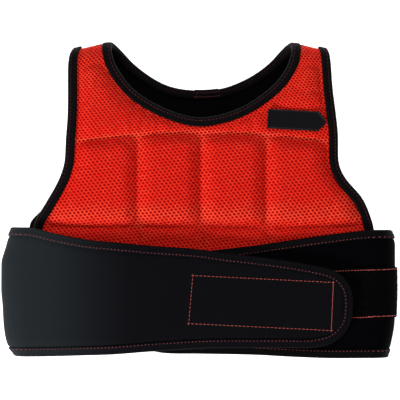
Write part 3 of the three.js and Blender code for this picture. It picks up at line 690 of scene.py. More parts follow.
# A padded half: each cell of the turned lattice gets its six corners on the outer surface, a
# smaller ring of them drawn out along the slanted rows, and a pit in the middle
def airMesh(name, inside, plain, outer, inner, low=footS, high=seamS - 0.15):
    look = airMeshLook
    px, py = look["pitchX"], look["pitchY"]
    turn = np.radians(look["turnDegrees"])
    count = 76  # rows each way from the middle, beyond every outline
    k, c = np.meshgrid(np.arange(-count, count), np.arange(-count // 2 - 18, count // 2 + 18), indexing="ij")
    m = 2 * c + (k % 2)
    u, v = m * px / 2, k * py
    x, s = u * np.cos(turn) - v * np.sin(turn), u * np.sin(turn) + v * np.cos(turn)
    x, s = drawnIn(x, s)
    keep = inside(x, s)
    k, m, x, s = k[keep], m[keep], x[keep], s[keep]
    corners = [(0, -1), (0, 0), (0, 1), (1, 1), (1, 0), (1, -1)]
    keys = np.stack([np.stack([k + dk, m + dm], -1) for dk, dm in corners], 1)
    flat, inverse = np.unique(keys.reshape(-1, 2), axis=0, return_inverse=True)
    cell = inverse.reshape(-1, 6)
    shift = np.where((flat[:, 0] + flat[:, 1]) % 2 == 0, -1, 1) * py / 6
    cu, cv = flat[:, 1] * px / 2, (flat[:, 0] - 0.5) * py + shift
    cu = cu + rng.normal(0, look["jitter"], len(cu))
    cv = cv + rng.normal(0, look["jitter"], len(cv))
    cx, cs = cu * np.cos(turn) - cv * np.sin(turn), cu * np.sin(turn) + cv * np.cos(turn)
    cx, cs = drawnIn(cx, cs)
    cs = np.clip(cs, low, high)
    ridge = outer(cx, cs, 0.0 * cx)
    floor = inner(cx, cs)
    cells = len(cell)
    openCells = ~plain(x, s)
    opened = np.nonzero(openCells)[0]
    ring = np.arange(6)
    row = np.radians(look["rowDegrees"])
    wayX, wayS = np.cos(row), np.sin(row)
    offX = (cx[cell[opened]] - x[opened, None]) * look["rim"]
    offS = (cs[cell[opened]] - s[opened, None]) * look["rim"]
    along = (offX * wayX + offS * wayS) * look["drawnAlong"]
    across = (offS * wayX - offX * wayS) * look["drawnAcross"]
    rx = x[opened, None] + offX + along * wayX - across * wayS
    rs = s[opened, None] + offS + along * wayS + across * wayX
    rim = outer(rx.ravel(), rs.ravel(), np.full(rx.size, -look["rimDrop"]))
    pit = outer(x[opened], s[opened], np.full(len(opened), -look["pit"]))
    n = len(cx)
    rimStart, pitStart, floorStart = n, n + rim.shape[0], n + rim.shape[0] + pit.shape[0]
    points = np.concatenate([ridge, rim, pit, floor])
    rims = rimStart + np.arange(len(opened) * 6).reshape(-1, 6)
    quads = ringFaces(cell[opened], rims)
    pits = np.repeat(pitStart + np.arange(len(opened)), 6).reshape(-1, 6)
    fans = np.stack([rims, np.roll(rims, -1, 1), pits], -1).reshape(-1, 3)
    plains = cell[~openCells]
    unders = cell[:, ::-1] + floorStart
    walls = edgeWalls(cell, n, floorStart)
    faces = [*quads.tolist(), *fans.tolist(), *plains.tolist(), *unders.tolist(), *walls.tolist()]
    outside = len(quads) + len(fans) + len(plains)
    slots = np.concatenate([np.zeros(outside), np.ones(len(unders) + len(walls))])
    # Painted shade: how far the colour of each point darkens into its pit
    shades = (np.zeros(n), np.full(len(rim), look["rimShade"]), np.ones(len(pit)), np.zeros(n))
    depth = np.concatenate(shades)
    triangles = 2 * len(quads) + len(fans) + 4 * (len(plains) + len(unders)) + 2 * len(walls)
    print(name, "cells", cells, "triangles", triangles)
    # Paler strands at the ridge and rim points: stretched mesh and painted highlight
    rimPale = stretchAndHighlight(rx.ravel(), rs.ravel())
    paleAndLit = np.concatenate([stretchAndHighlight(cx, cs), rimPale, np.zeros(len(pit)), np.zeros(n)])
    paleAndLit = np.clip(paleAndLit + look["uneven"] * rng.normal(0, 1, len(paleAndLit)), 0, 1)
    return makeObject(name, points, faces, [orange, lining], slots, {"pit": depth, "paleAndLit": paleAndLit})


# Test of a place: between the sides and clear of the neck, each by a margin
def insideHalf(sides, neck, neckLow, margin):
    def test(x, s):
        left, right = acrossAt(sides, 1, s) + margin, acrossAt(sides, 2, s) - margin
        neckLeft, neckRight = acrossAt(neck, 1, s) - margin, acrossAt(neck, 2, s) + margin
        clear = (s < neckLow - margin) | (x < neckLeft) | (x > neckRight)
        return (x > left) & (x < right) & clear & (s > footS + 0.4) & (s < seamS - 0.4)

    return test


front = airMesh(
    "frontPadding",
    insideHalf(frontSides, frontNeck, 80.0, 2.4),
    lambda x, s: s < np.where(x < 0, -50.0, -52.0),
    frontOuter,
    lambda x, s: place(x, s, -edgeThick / 2 - 3 * frontFull(x, s)),
)
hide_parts("front_panel")
# The back half lies face down, so its grid runs the other way round
back = airMesh(
    "backPadding",
    insideHalf(backSides, backNeck, 108.0, 2.4),
    lambda x, s: s < -30.0,
    lambda x, s, t: backPlace(x, s, edgeThick / 2 + 2 * backFull(x, s) + t),
    lambda x, s: backPlace(x, s, -edgeThick / 2 - 4 * backFull(x, s)),
)
back.data.flip_normals()
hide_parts("back_panel")
print("padded halves made")


# Black cloth on the inner side of the back: a lattice of squares cut to the outline
def makeLining():
    step = 3.2
    margin = 3.0
    inside = insideHalf(backSides, backNeck, 108.0, margin)
    j, i = np.meshgrid(np.arange(-48, 54), np.arange(-54, 55), indexing="ij")
    keep = inside(i * step, j * step) & (j * step < seamS - 4)
    j, i = j[keep], i[keep]
    keys = np.stack([np.stack([j + dj, i + di], -1) for dj, di in ((0, 0), (0, 1), (1, 1), (1, 0))], 1)
    flat, inverse = np.unique(keys.reshape(-1, 2), axis=0, return_inverse=True)
    cell = inverse.reshape(-1, 4)
    x, s = (flat[:, 1] - 0.5) * step, (flat[:, 0] - 0.5) * step
    rise = -edgeThick / 2 - 4 * backFull(x, s)
    ripple = 0.25 * np.sin(x / 9.0 + 1.7 * np.sin(s / 23.0)) * easeStep(backFull(x, s), 0.02, 0.3)
    outer = backPlace(x, s, rise - 0.06)
    inner = backPlace(x, s, rise - 0.62 - np.abs(ripple))
    n = len(x)
    faces = np.concatenate([cell, cell[:, ::-1] + n, edgeWalls(cell, n, n)])
    points = np.concatenate([outer, inner])
    piece = makeObject("backLining", points, facedOut(points, faces.tolist()), [lining])
    flatSize = (float(np.ptp(x)) / 1000, float(np.ptp(s)) / 1000)
    return piece, flatSize, len(cell) * step**2 / 1e6


liningPiece, liningFlat, liningArea = makeLining()
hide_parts("back_lining")
print("lining made, laid flat", [round(v, 4) for v in liningFlat], round(liningArea, 4))


# Even steps along a line of points, rounded by a curve through them
def evenLine(points, step, closed=False):
    points = np.asarray(points, float)
    if closed:
        points = np.vstack([points[-1:], points, points[:2]])
    else:
        points = np.vstack([2 * points[0] - points[1], points, 2 * points[-1] - points[-2]])
    pieces = []
    for a, b, c, d in zip(points[:-3], points[1:-2], points[2:-1], points[3:]):
        t = np.linspace(0, 1, 12, endpoint=False)[:, None]
        square, cube = 2 * a - 5 * b + 4 * c - d, 3 * b - a - 3 * c + d
        pieces.append(0.5 * (2 * b + (c - a) * t + square * t**2 + cube * t**3))
    line = np.vstack(pieces + ([] if closed else [points[-2:-1]]))
    if closed:
        line = np.vstack([line, line[:1]])
    along = np.concatenate([[0], np.cumsum(np.linalg.norm(np.diff(line, axis=0), axis=1))])
    count = max(2, int(round(along[-1] / step)))
    at = np.linspace(0, along[-1], count + 1)
    if closed:
        at = at[:-1]
    return np.stack([np.interp(at, along, line[:, k]) for k in range(line.shape[1])], -1)


# A line made smoother: each point moves to the mean of itself and its two neighbours
def eased(line, times, closed=False):
    for _ in range(times):
        mean = (np.roll(line, 1, 0) + 2 * line + np.roll(line, -1, 0)) / 4
        line = mean if closed else np.vstack([line[:1], mean[1:-1], line[-1:]])
    return line


# Unit way along a line of flat points
def alongLine(line, closed=False):
    if closed:
        way = np.roll(line, -1, 0) - np.roll(line, 1, 0)
    else:
        way = np.gradient(line, axis=0)
    return way / np.linalg.norm(way, axis=1, keepdims=True)


# A section (depth to the left of the way, height) carried along a line of the flat cloth
def carrySection(name, line, section, put, material, closed=False, puckers=0.0):
    way = alongLine(line, closed)
    section = np.asarray(section, float)
    depth, up = section[:, 0][None, :], section[:, 1][None, :]
    if puckers:
        run = np.arange(len(line))[:, None]
        waves = np.sin(run * 0.9) * 0.5 + np.sin(run * 0.37 + 1) * 0.5
        swell = puckers * waves * easeStep(np.abs(up), 1.0, 2.0)
        up = up + np.sign(up) * swell
    u = line[:, 0][:, None] - way[:, 1][:, None] * depth
    v = line[:, 1][:, None] + way[:, 0][:, None] * depth
    points = put(u, v, up + 0 * u)
    points[..., 2] = np.maximum(points[..., 2], 0)  # pressed flat where the belt lies on the floor
    rows, columns = points.shape[:2]
    index = np.arange(rows * columns).reshape(rows, columns)
    after = np.roll(index, -1, 0) if closed else index[1:]
    before = index if closed else index[:-1]
    faces = ringFaces(before, after).tolist()
    if not closed:
        faces += [index[0][::-1].tolist(), index[-1].tolist()]
    flat = points.reshape(-1, 3)
    return makeObject(name, flat, facedOut(flat, faces), [material])


# Section of a tape folded over an edge, its corners rounded: one side, the turn round the
# edge, the same side mirrored, and the two places inside the fold
def tapeSection(inside, wall, depth, reach):
    top = inside + wall
    side = [
        (depth, inside), (depth + 0.25, inside + 0.35 * wall), (depth - 0.1, inside + 0.8 * wall),
        (depth - 0.7, top), (depth * 0.72, top + 0.14), (depth * 0.45, top + 0.02),
        (1.7, top - 0.32), (1.1, top - 0.38), (0.4, top - 0.1), (-0.4, top - 0.22),
        (-reach * 0.62, top * 0.74), (-reach * 0.92, top * 0.4),
    ]
    mirrored = [(deep, -high) for deep, high in reversed(side)]
    within = [(-reach * 0.4, -inside * 0.8), (-reach * 0.4, inside * 0.8)]
    return [*side, (-reach, 0), *mirrored, *within]


def sideLine(sides, column, low, step=5.0):
    heights = np.arange(low, seamS, step)
    return np.stack([acrossAt(sides, column, heights), heights], -1)


def armLine(column):
    frontPart = sideLine(frontSides, column, -63.0)
    backPart = sideLine(backSides, column, -63.0)[::-1]
    backPart[:, 1] = overShoulder(backPart[:, 1])
    return evenLine(np.vstack([frontPart, backPart]), 2.0)


def neckHalf(neck, column):
    return neck[1:, [column, 0]] * [halfWide, halfHigh]


# Points of a back outline as places on the whole flat cloth
def onBack(points):
    return np.stack([points[:, 0], overShoulder(points[:, 1])], -1)


def neckLineFlat():
    low = frontNeck[0, [1, 0]] * [halfWide, halfHigh]
    lowBack = backNeck[0, [1, 0]] * [halfWide, halfHigh]
    parts = [
        [low], neckHalf(frontNeck, 1)[:-1], onBack(neckHalf(backNeck, 1))[::-1],
        onBack(np.array([lowBack])), onBack(neckHalf(backNeck, 2))[:-1], neckHalf(frontNeck, 2)[::-1],
    ]
    return evenLine(np.vstack(parts), 2.0, True)


tapeLook = {"inside": 2.65, "wall": 1.5, "depth": 7.0, "reach": 2.15, "pucker": 0.18}
panelSection = tapeSection(tapeLook["inside"], tapeLook["wall"], tapeLook["depth"], tapeLook["reach"])
leftArm, rightArm = eased(armLine(1)[::-1], 14), eased(armLine(2), 14)
neckRound = eased(neckLineFlat(), 26, True)
neckPiece = carrySection("neckTape", neckRound, panelSection, place, tape, True, tapeLook["pucker"])
leftTape = carrySection("armTapeLeft", leftArm, panelSection, place, tape, False, tapeLook["pucker"])
rightTape = carrySection("armTapeRight", rightArm, panelSection, place, tape, False, tapeLook["pucker"])
lapFrom = int(np.argmin(np.hypot(neckRound[:, 0] - 18.5, neckRound[:, 1] - overShoulder(108.5))))
lapTo = int(np.argmin(np.hypot(neckRound[:, 0] + 5.5, neckRound[:, 1] - overShoulder(108.2))))
lapLine = evenLine(neckRound[min(lapFrom, lapTo) : max(lapFrom, lapTo) + 1], 1.5)
lapSection = [
    (6.5, -4.45), (6.6, -4.8), (5.8, -4.95), (0.5, -4.95), (-1.4, -4.7),
    (-2.4, -3.6), (-2.85, -1.5), (-2.85, 2.6),
    (-2.35, 2.6), (-2.35, -1.2), (-2.0, -3.2), (-1.0, -4.3), (0.5, -4.45),
]
lapPiece = carrySection("neckTapeLap", lapLine, lapSection, place, tape)
for piece, node in (
    (neckPiece, "neck_tape"), (leftTape, "arm_tape_left"),
    (rightTape, "arm_tape_right"), (lapPiece, "neck_tape_lap"),
):
    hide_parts(node)
print("edge tapes made")


# Height of the middle of a wing along the front
def wingHeight(x, level):
    climb = readShare(wingClimb, 1, x, halfWide) if level == "over" else 0
    return frontHeight(x, -0.17 * halfHigh) + underOverFront + climb * overOverUnder


# A wing's place: run below zero on the back, round the side as half an ellipse, then along
# the front; y along the vest; t out from the middle of the belt
def wingPut(side, level):
    sign = -1 if side == "left" else 1
    column = 1 if side == "left" else 2
    rise = (float(wingHeight(sign * beltFoldStart, level)) - hemHalf) / 2
    centre = hemHalf + rise
    foldLength = 2 * (0.9 * rise + 6)

    def put(run, y, t):
        run, y, t = np.broadcast_arrays(np.asarray(run, float), np.asarray(y, float), np.asarray(t, float))
        wide = acrossAt(sideFolds, column, y) - beltFoldStart - beltThick / 2
        turn = (np.clip(run / foldLength, 0, 1) - 0.5) * np.pi
        across, upward = np.cos(turn) * rise, np.sin(turn) * wide
        size = np.hypot(across, upward)
        x = beltFoldStart + wide * np.cos(turn) + t * across / size
        z = centre + rise * np.sin(turn) + t * upward / size
        behind, above = run <= 0, run >= foldLength
        xFront = sign * (beltFoldStart - (run - foldLength))
        slope = (wingHeight(xFront + 1, level) - wingHeight(xFront - 1, level)) / 2
        size = np.hypot(slope, 1)
        x = np.where(behind, beltFoldStart + run, x)
        z = np.where(behind, hemHalf - t, z)
        x = np.where(above, sign * (xFront - t * slope / size), x)
        z = np.where(above, wingHeight(xFront, level) + t / size, z)
        return np.stack([sign * x, y, z], -1)

    return put, foldLength


overPut, overFold = wingPut("left", "over")
underPut, underFold = wingPut("right", "under")


def overRun(x):
    return overFold + beltFoldStart + np.asarray(x, float)


def underRun(x):
    return underFold + beltFoldStart - np.asarray(x, float)


# Where a wing starts on the back, and how far its tape reaches past its edge
wingStart, hemReach = -19.7, 1.55


# Bottom and top edge of a wing on its flat cloth, drawn in by the reach of its tape
def wingOutline(edges, runOf):
    runs = runOf(edges[:, 0] * halfWide) - hemReach
    top, bottom = edges[:, 1] * halfHigh - hemReach, edges[:, 2] * halfHigh + hemReach
    low = np.stack([np.concatenate([[wingStart, 0], runs]), np.concatenate([[bottom[0]] * 2, bottom])], -1)
    high = np.stack([np.concatenate([[wingStart, 0], runs]), np.concatenate([[top[0]] * 2, top])], -1)
    return low, high


beltLook = {"thick": 4.0, "hemThick": 2.2, "ripple": 0.5}


# Size and area of a sheet laid flat, in metres: its length is the sum of the steps along its
# middle, round the side too, and its area the sum of the strips between those steps
def laidFlat(put, runs, bottom, top, t):
    line = put(runs, float(np.mean(bottom + top)) / 2, t)
    steps = np.hypot(np.diff(line[:, 0]), np.diff(line[:, 2]))
    deep = top - bottom
    area = np.sum(steps * (deep[1:] + deep[:-1]) / 2)
    return (float(steps.sum()) / 1000, float(deep.max()) / 1000), float(area) / 1e6


# Shares of a width from nought to one, closer together in a band at each edge
def edgeShares(band, steps):
    inner = np.linspace(band, 1 - band, steps)[1:-1]
    return np.concatenate([np.linspace(0, band, 5), inner, np.linspace(1 - band, 1, 5)])


# A wing: places between its bottom and top lines, put out to both sides of the belt's middle by
# half its thickness, which eases from the thin edge to the full one, and moved by the ripples
def wingSheet(name, edges, runOf, put, ripples, material):
    low, high = wingOutline(edges, runOf)
    end = low[-1, 0]
    rounded = end - 12 * np.cos(np.linspace(0, np.pi / 2, 9))
    runs = np.concatenate([np.arange(wingStart, end - 12, 3.0), rounded])
    bottom, top = smoothRead(low[:, 0], low[:, 1], runs), smoothRead(high[:, 0], high[:, 1], runs)
    share = edgeShares(0.08, 36)
    y = bottom[:, None] + (top - bottom)[:, None] * share[None, :]
    run = np.broadcast_to(runs[:, None], y.shape)
    edge = np.minimum(np.minimum(y - bottom[:, None], top[:, None] - y), end - run)
    thin, thick = beltLook["hemThick"], beltLook["thick"]
    half = thin / 2 + (thick - thin) / 2 * easeStep(edge, 6.0, 11.0)
    ripple = ripples(run, y) * easeStep(edge, 5.0, 20.0)
    points, faces = shellMesh(put(run, y, half + ripple), put(run, y, -half + ripple))
    piece = makeObject(name, points, facedOut(points, faces.tolist()), [material])
    return piece, *laidFlat(put, runs, bottom, top, 0)


# Ripples of the upper wing: a ridge and a hollow as bell curves across it, over a low wave
def overRipples(run, y):
    x = run - overFold - beltFoldStart
    ridge = 0.9 * np.exp(-(((x + 118) + 0.10 * (y + 90)) / 16) ** 2)
    hollow = 0.6 * np.exp(-(((x + 76) - 0.12 * (y + 90)) / 20) ** 2)
    return beltLook["ripple"] * (ridge - hollow + 0.35 * np.sin(x / 27.0 + y / 31.0))


# Ripples of the lower wing: one low slanted wave
def underRipples(run, y):
    return beltLook["ripple"] * 0.5 * np.sin(run / 24.0 + y / 19.0)


# The upper wing wears the neoprene paled by painted light towards the left, the lower one the copy darkened
# as painted shade
overWing, overFlat, overArea = wingSheet("overWing", overEdges, overRun, overPut, overRipples, neoprene)
underWing, underFlat, underArea = wingSheet(
    "underWing", underEdges, underRun, underPut, underRipples, shadedNeoprene
)
hemSection = tapeSection(1.75, 1.0, 7.2, hemReach)


# Tape folded over the edge of a wing, and the line that it follows
def hemTape(name, edges, runOf, put, material):
    low, high = wingOutline(edges, runOf)
    line = evenLine(np.vstack([low, high[::-1]]), 2.2)
    return carrySection(name, line, hemSection, put, material, False, 0.12), line


# The upper hem takes the neoprene with its painted light towards the left end
overHem, overLine = hemTape("overWingHem", overEdges, overRun, overPut, neoprene)
underHem, underLine = hemTape("underWingHem", underEdges, underRun, underPut, tape)


backLook = {"half": 150, "bow": 4.2, "thick": 4.9, "grooveAt": 7, "grooveWide": 0.9, "grooveDeep": 0.25}


# The belt across the back: flat, eased thinner at its two long edges, with a sewn groove as a
# bell curve inside each, and its lower edge bowed up in the middle as a parabola
def makeBeltBack():
    x = np.linspace(-backLook["half"], backLook["half"], 101)
    low, high = -0.9874 * halfHigh, -0.1735 * halfHigh
    share = edgeShares(0.07, 24)
    gx, gShare = np.meshgrid(x, share, indexing="ij")
    bottom = low + backLook["bow"] * (1 - (gx / backLook["half"]) ** 2)
    gy = bottom + (high - bottom) * gShare
    edge = np.minimum(gy - bottom, high - gy)
    away = (edge - backLook["grooveAt"]) / backLook["grooveWide"]
    groove = backLook["grooveDeep"] * np.exp(-(away**2))
    top = backLook["thick"] - 1.2 * (1 - easeStep(edge, 0, 3.5)) - groove
    under = 0.8 * (1 - easeStep(edge, 0, 3.0)) + groove
    points, faces = shellMesh(np.stack([gx, gy, top], -1), np.stack([gx, gy, under], -1))
    return makeObject("beltBack", points, facedOut(points, faces.tolist()), [neoprene])


beltBack = makeBeltBack()
for piece, node, slot in (
    (overWing, "over_wing", "black_neoprene"), (underWing, "under_wing", "black_neoprene"),
    (beltBack, "belt_back", "black_neoprene"), (overHem, "over_wing_hem", "black_tape"),
    (underHem, "under_wing_hem", "black_tape"),
):
    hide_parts(node)
print("belt made, wings laid flat", [round(v, 4) for v in (*overFlat, overArea, *underFlat, underArea)])

# Loop strip and hook patch: bands on the wings between a top and a bottom line
patchRows = np.array([
    [-0.0326, -0.4738, -0.7754], [0.1328, -0.482, -0.785], [0.2581, -0.489, -0.793],
    [0.4486, -0.501, -0.805], [0.5639, -0.509, -0.812], [0.667, -0.518, -0.8202],
])
stripRows = np.array([
    [0.8521, -0.424, -0.7413], [0.6441, -0.442, -0.755], [0.4486, -0.455, -0.768],
    [0.2581, -0.468, -0.782], [0.0025, -0.486, -0.8], [-0.03, -0.489, -0.803],
])


# A band: places between its two lines, with a rounded rim, a sewn groove as a bell curve a
# little inside it, and tufts as small random heights
def bandSheet(name, rows, runOf, put, low, high, material, startRun=None, tufts=0.0):
    runs = runOf(rows[:, 0] * halfWide)
    tops, bottoms = rows[:, 1] * halfHigh, rows[:, 2] * halfHigh
    if startRun is not None:
        starts = ((startRun, runs), (tops[0], tops), (bottoms[0], bottoms))
        runs, tops, bottoms = [np.concatenate([[value], line]) for value, line in starts]
    at = np.arange(runs[0], runs[-1], 1.6 if tufts else 3.0)
    top, bottom = smoothRead(runs, tops, at), smoothRead(runs, bottoms, at)
    share = np.linspace(0, 1, 32 if tufts else 18)
    y = bottom[:, None] + (top - bottom)[:, None] * share
    run = np.broadcast_to(at[:, None], y.shape)
    rim = np.minimum(share, 1 - share)[None, :] * 49
    crown = high - 0.5 * (1 - easeStep(rim, 0, 1.4)) - 0.35 * np.exp(-(((rim - 2.2) / 0.7) ** 2))
    crown = crown + tufts * rng.normal(0, 1, y.shape) * easeStep(rim, 2.5, 4.5)
    points, faces = shellMesh(put(run, y, crown), put(run, y, np.full(y.shape, low)))
    piece = makeObject(name, points, facedOut(points, faces.tolist()), [material])
    return piece, *laidFlat(put, at, bottom, top, (low + high) / 2)


hookPiece, hookFlat, hookArea = bandSheet("hookPatch", patchRows, overRun, overPut, -2.3, -3.4, hook)
loopPiece, loopFlat, loopArea = bandSheet(
    "loopStrip", stripRows, underRun, underPut, 2.1, 4.0, loop, 6.0, 0.10
)
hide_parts("hook_patch")
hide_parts("loop_strip")
print("bands made, laid flat", [round(v, 4) for v in (*hookFlat, hookArea, *loopFlat, loopArea)])

# Tag on the chest: a plate with a point at one end and a raised rim
tagLook = {"length": 58.8, "width": 19.6, "point": 8.0, "corner": 1.4, "tilt": -3.0, "at": (68.0, 81.2)}


# Rounded outline of a shape with straight sides: each corner is an arc of small radius
def roundedOutline(corners, radius, steps):
    corners = np.asarray(corners, float)
    line = []
    for k in range(len(corners)):
        a, b, c = corners[k - 1], corners[k], corners[(k + 1) % len(corners)]
        toBefore, toNext = (a - b) / np.linalg.norm(a - b), (c - b) / np.linalg.norm(c - b)
        first, last = b + toBefore * radius, b + toNext * radius
        t = np.linspace(0, 1, steps)[:, None]
        line.append(first * (1 - t) ** 2 + 2 * b * t * (1 - t) + last * t**2)
        line.append(last + ((c - toNext * radius) - last) * np.linspace(0, 1, 8)[1:-1, None])
    return np.vstack(line)


# Corners moved inward by a depth, each to where its two sides meet again
def insetCorners(corners, depth):
    corners = np.asarray(corners, float)
    ahead = np.roll(corners, -1, 0) - corners
    ahead /= np.linalg.norm(ahead, axis=1, keepdims=True)
    inward = np.stack([-ahead[:, 1], ahead[:, 0]], -1)
    before = np.roll(inward, 1, 0)
    return corners + depth * (inward + before) / (1 + np.sum(inward * before, axis=1, keepdims=True))


# The tag: rings of its outline set in and raised step by step, on the plane that fits the chest
# under it best, with a flat face inside the last ring
def makeTag():
    look = tagLook
    length, half, point = look["length"], look["width"] / 2, look["point"]
    corners = [
        (0, -half), (length - point, -half), (length, -1.6),
        (length, 1.6), (length - point, half), (0, half),
    ]
    rings = [(0, -1.2), (0, 1.1), (0.25, 1.5), (0.8, 1.7), (1.35, 1.7), (1.7, 1.2), (2.1, 1.1)]
    flat = [roundedOutline(insetCorners(corners, d), max(look["corner"] - d, 0.3), 5) for d, _ in rings]
    heights = [h for _, h in rings]
    turn = np.radians(look["tilt"])
    spin = np.array([[np.cos(turn), -np.sin(turn)], [np.sin(turn), np.cos(turn)]])

    def onChest(points):
        return points @ spin.T + look["at"]

    spread = np.meshgrid(np.linspace(0, 60, 40), np.linspace(-9.5, 9.5, 14))
    probe = onChest(np.stack(spread, -1).reshape(-1, 2))
    under = frontOuter(probe[:, 0], probe[:, 1], 0)
    fit = np.linalg.lstsq(np.c_[np.ones(len(under)), under[:, :2]], under[:, 2], rcond=None)[0]
    lift = np.max(under[:, 2] - np.c_[np.ones(len(under)), under[:, :2]] @ fit) + 0.3
    points = []
    for ring, height in zip(flat, heights):
        spot = onChest(ring)
        points.append(np.c_[spot, np.c_[np.ones(len(spot)), spot] @ fit + lift + height])
    rows = np.array(points)
    count = rows.shape[1]
    index = np.arange(rows.shape[0] * count).reshape(-1, count)
    quads = ringFaces(index[:-1], index[1:])
    middle = np.full(count, index.size)
    cap = np.stack([index[-1], np.roll(index[-1], -1), middle], -1)
    foot = np.stack([np.roll(index[0], -1), index[0], middle + 1], -1)
    allPoints = np.vstack([rows.reshape(-1, 3), rows[-1].mean(0), rows[0].mean(0)])
    faces = facedOut(allPoints, quads.tolist() + cap.tolist() + foot.tolist())
    piece = makeObject("chestTag", allPoints, faces, [rubber, rimRubber])
    ringOf = np.arange(len(piece.data.polygons)) // count
    piece.data.polygons.foreach_set("material_index", ((ringOf >= 2) & (ringOf <= 3)).astype(np.int32))
    smooth = np.arange(len(piece.data.polygons)) < len(quads) - count
    piece.data.polygons.foreach_set("use_smooth", smooth)
    return piece


tagPiece = makeTag()
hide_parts("chest_tag")
print("tapes, strips and tag made")

# Stitches: short rounded bars joined into one mesh per seam
stitchLook = {"length": 2.5, "step": 3.7, "hemLength": 1.8, "hemStep": 3.6}


# Bars from first ends to second ends, standing up along a normal: rings of five round an
# ellipse whose size follows half a sine along the bar
def barMesh(name, first, second, normal, thick, material):
    along = second - first
    side = np.cross(normal, along)
    side /= np.linalg.norm(side, axis=1, keepdims=True) + 1e-9
    share = np.array([0.0, 0.12, 0.5, 0.88, 1.0])
    swell = np.array([0.3, 0.85, 1.0, 0.85, 0.3])
    angle = np.arange(6) / 6 * 2 * np.pi
    ring, turn = np.repeat(np.arange(5), 6), np.tile(angle, 5)
    across, up = np.cos(turn) * swell[ring], np.sin(turn) * swell[ring]
    template = np.stack([share[ring], across, up, np.sin(share[ring] * np.pi)], -1)
    points = (
        first[:, None, :]
        + template[None, :, 0, None] * along[:, None, :]
        + template[None, :, 1, None] * side[:, None, :] * thick
        + (template[None, :, 2, None] * thick + template[None, :, 3, None] * 0.35 - 0.1) * normal[:, None, :]
    )
    points[..., 2] = np.maximum(points[..., 2], 0)  # pressed flat where the belt lies on the floor
    index = np.arange(30).reshape(5, 6)
    quads = ringFaces(index[:-1], index[1:])
    faces = (quads[None] + 30 * np.arange(len(first))[:, None, None]).reshape(-1, 4).tolist()
    ends = np.stack([index[0][::-1], index[-1]])
    faces += (ends[None] + 30 * np.arange(len(first))[:, None, None]).reshape(-1, 6).tolist()
    flat = points.reshape(-1, 3)
    return makeObject(name, flat, facedOut(flat, faces), [material])


# Stitches along a flat line on a surface, a little uneven
def stitchRow(line, put, t, step=None, length=None):
    step, length = step or stitchLook["step"], length or stitchLook["length"]
    line = evenLine(line, step)
    way = alongLine(line)
    wobble = rng.normal(0, 0.07, (len(line), 2))
    first = line - way * length / 2 + wobble
    second = line + way * length / 2 + rng.normal(0, 0.07, (len(line), 2))
    a, b = put(first[:, 0], first[:, 1], t), put(second[:, 0], second[:, 1], t)
    out = put(line[:, 0], line[:, 1], np.full(len(line), 1.0) + t) - put(line[:, 0], line[:, 1], t)
    return a, b, out / np.linalg.norm(out, axis=1, keepdims=True)


def joinRows(name, rows, thick, material):
    a, b, out = [np.concatenate(parts) for parts in zip(*rows)]
    return barMesh(name, a, b, out, thick, material)


def inset(line, depth, closed=False):
    way = alongLine(line, closed)
    return np.stack([line[:, 0] - way[:, 1] * depth, line[:, 1] + way[:, 0] * depth], -1)


tapeTop = tapeLook["inside"] + tapeLook["wall"] - 0.35
hemTop = 2.75
joinRows(
    "neckStitches",
    [stitchRow(inset(neckRound, 1.2, True), place, level) for level in (tapeTop, -tapeTop)],
    0.3,
    dimThread,
)
joinRows(
    "armStitches",
    [
        stitchRow(inset(line, 1.0), place, level)
        for line in (leftArm, rightArm)
        for level in (tapeTop, -tapeTop)
    ],
    0.26,
    dimThread,
)
joinRows(
    "hemStitches",
    [
        stitchRow(inset(line, 5.6)[6:-6], put, level, stitchLook["hemStep"], stitchLook["hemLength"])
        for line, put, level in (
            (overLine, overPut, hemTop), (underLine, underPut, hemTop), (underLine, underPut, -hemTop),
        )
    ],
    0.36,
    hemThread,
)
joinRows(
    "lapStitches",
    [
        stitchRow(inset(lapLine, 0.6), place, -4.95, 2.3, 2.0),
        stitchRow(inset(lapLine, 4.6), place, -4.95, 2.3, 2.0),
        stitchRow(evenLine([inset(lapLine, 5.4)[1], inset(lapLine, -0.2)[2]], 2.0), place, -4.95, 2.0, 1.7),
    ],
    0.24,
    hemThread,
)


photoMiddle = 199.5


# A line seen in the photo, one pixel to the millimetre, as runs and places along the vest
def photoLine(points, runOf):
    points = np.asarray(points, float)
    return np.stack([runOf(points[:, 0] - photoMiddle), photoMiddle - points[:, 1]], -1)


# Corners of the patch seam as seen in the photo, in pixels, and the stitch step on each side
patchCorners = [(193, 274.6), (332.7, 281.6), (330.7, 329.5), (188.8, 322.4)]
patchSteps = (4.0, 2.6, 4.0, 4.0)


def straight(a, b):
    t = np.linspace(0, 1, 12)[:, None]
    return np.asarray(a, float) * (1 - t) + np.asarray(b, float) * t


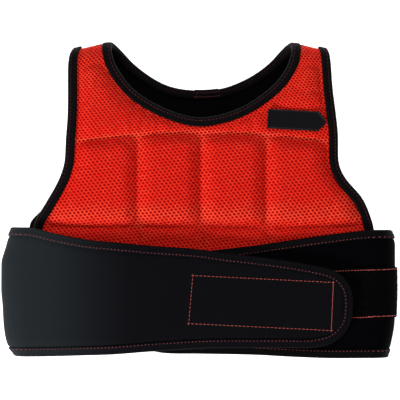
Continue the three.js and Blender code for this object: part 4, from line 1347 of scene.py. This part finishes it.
wingTop = beltThick / 2 + 0.1
joinRows(
    "patchStitches",
    [
        stitchRow(photoLine(straight(corner, following), overRun), overPut, wingTop, step, 3.0)
        for corner, following, step in zip(patchCorners, patchCorners[1:] + patchCorners[:1], patchSteps)
    ],
    0.35,
    thread,
)
stripSeams = [
    photoLine([(200, 276), (338.4, 270.4), (370, 269.2)], underRun),
    photoLine([(200, 322.5), (352.4, 317), (370, 316.3)], underRun),
    [(underFold + 1, -70.0), (underFold * 0.7, -69.2), (underFold * 0.5, -69.0)],
    [(underFold + 1, -116.4), (underFold * 0.7, -115.8), (underFold * 0.5, -115.6)],
]
stripRowLook = (3.95, 3.1, 2.7)  # height, step and length
joinRows("stripStitches", [stitchRow(line, underPut, *stripRowLook) for line in stripSeams], 0.36, thread)
print("stitches made")

# Floor, light and camera
floorMesh = bpy.data.meshes.new("floor")
floorMesh.from_pydata([(-3, -3, 0), (3, -3, 0), (3, 3, 0), (-3, 3, 0)], [], [(0, 1, 2, 3)])
floor = bpy.data.objects.new("floor", floorMesh)
bpy.context.scene.collection.objects.link(floor)
floorPaint, _, _, floorShader = newMaterial("floorPaint", (0.93, 0.93, 0.93), 0.9)
floorShader.inputs["Emission Color"].default_value = (1, 1, 1, 1)
floorShader.inputs["Emission Strength"].default_value = 1.0
floorMesh.materials.append(floorPaint)

lightLook = {
    "world": 0.26,
    "key": {"at": (-1.45, -1.65, 1.2), "size": 0.7, "power": 78.0},
    "fill": {"at": (0.5, 1.7, 2.0), "size": 1.6, "power": 37.0},
}
world = bpy.data.worlds.new("studio")
bpy.context.scene.world = world
world.use_nodes = True
world.node_tree.nodes["Background"].inputs["Color"].default_value = (1, 1, 1, 1)
world.node_tree.nodes["Background"].inputs["Strength"].default_value = lightLook["world"]


def addLight(name, look):
    data = bpy.data.lights.new(name, "AREA")
    data.size = look["size"]
    data.energy = look["power"]
    lamp = bpy.data.objects.new(name, data)
    lamp.location = look["at"]
    lamp.rotation_euler = (Vector((0, 0, 0)) - Vector(look["at"])).to_track_quat("-Z", "Y").to_euler()
    bpy.context.scene.collection.objects.link(lamp)


addLight("keyLight", lightLook["key"])
addLight("fillLight", lightLook["fill"])

cameraLook = {"height": 4.6, "width": 0.4}
cameraData = bpy.data.cameras.new("camera")
cameraData.sensor_width = 36
cameraData.lens = 36 * (cameraLook["height"] - 0.035) / cameraLook["width"]
cameraData.clip_end = 20
camera = bpy.data.objects.new("camera", cameraData)
camera.location = (0.0005, 0, cameraLook["height"])
bpy.context.scene.collection.objects.link(camera)
bpy.context.scene.camera = camera
bpy.context.scene.view_settings.view_transform = "Standard"

print("scene ready")
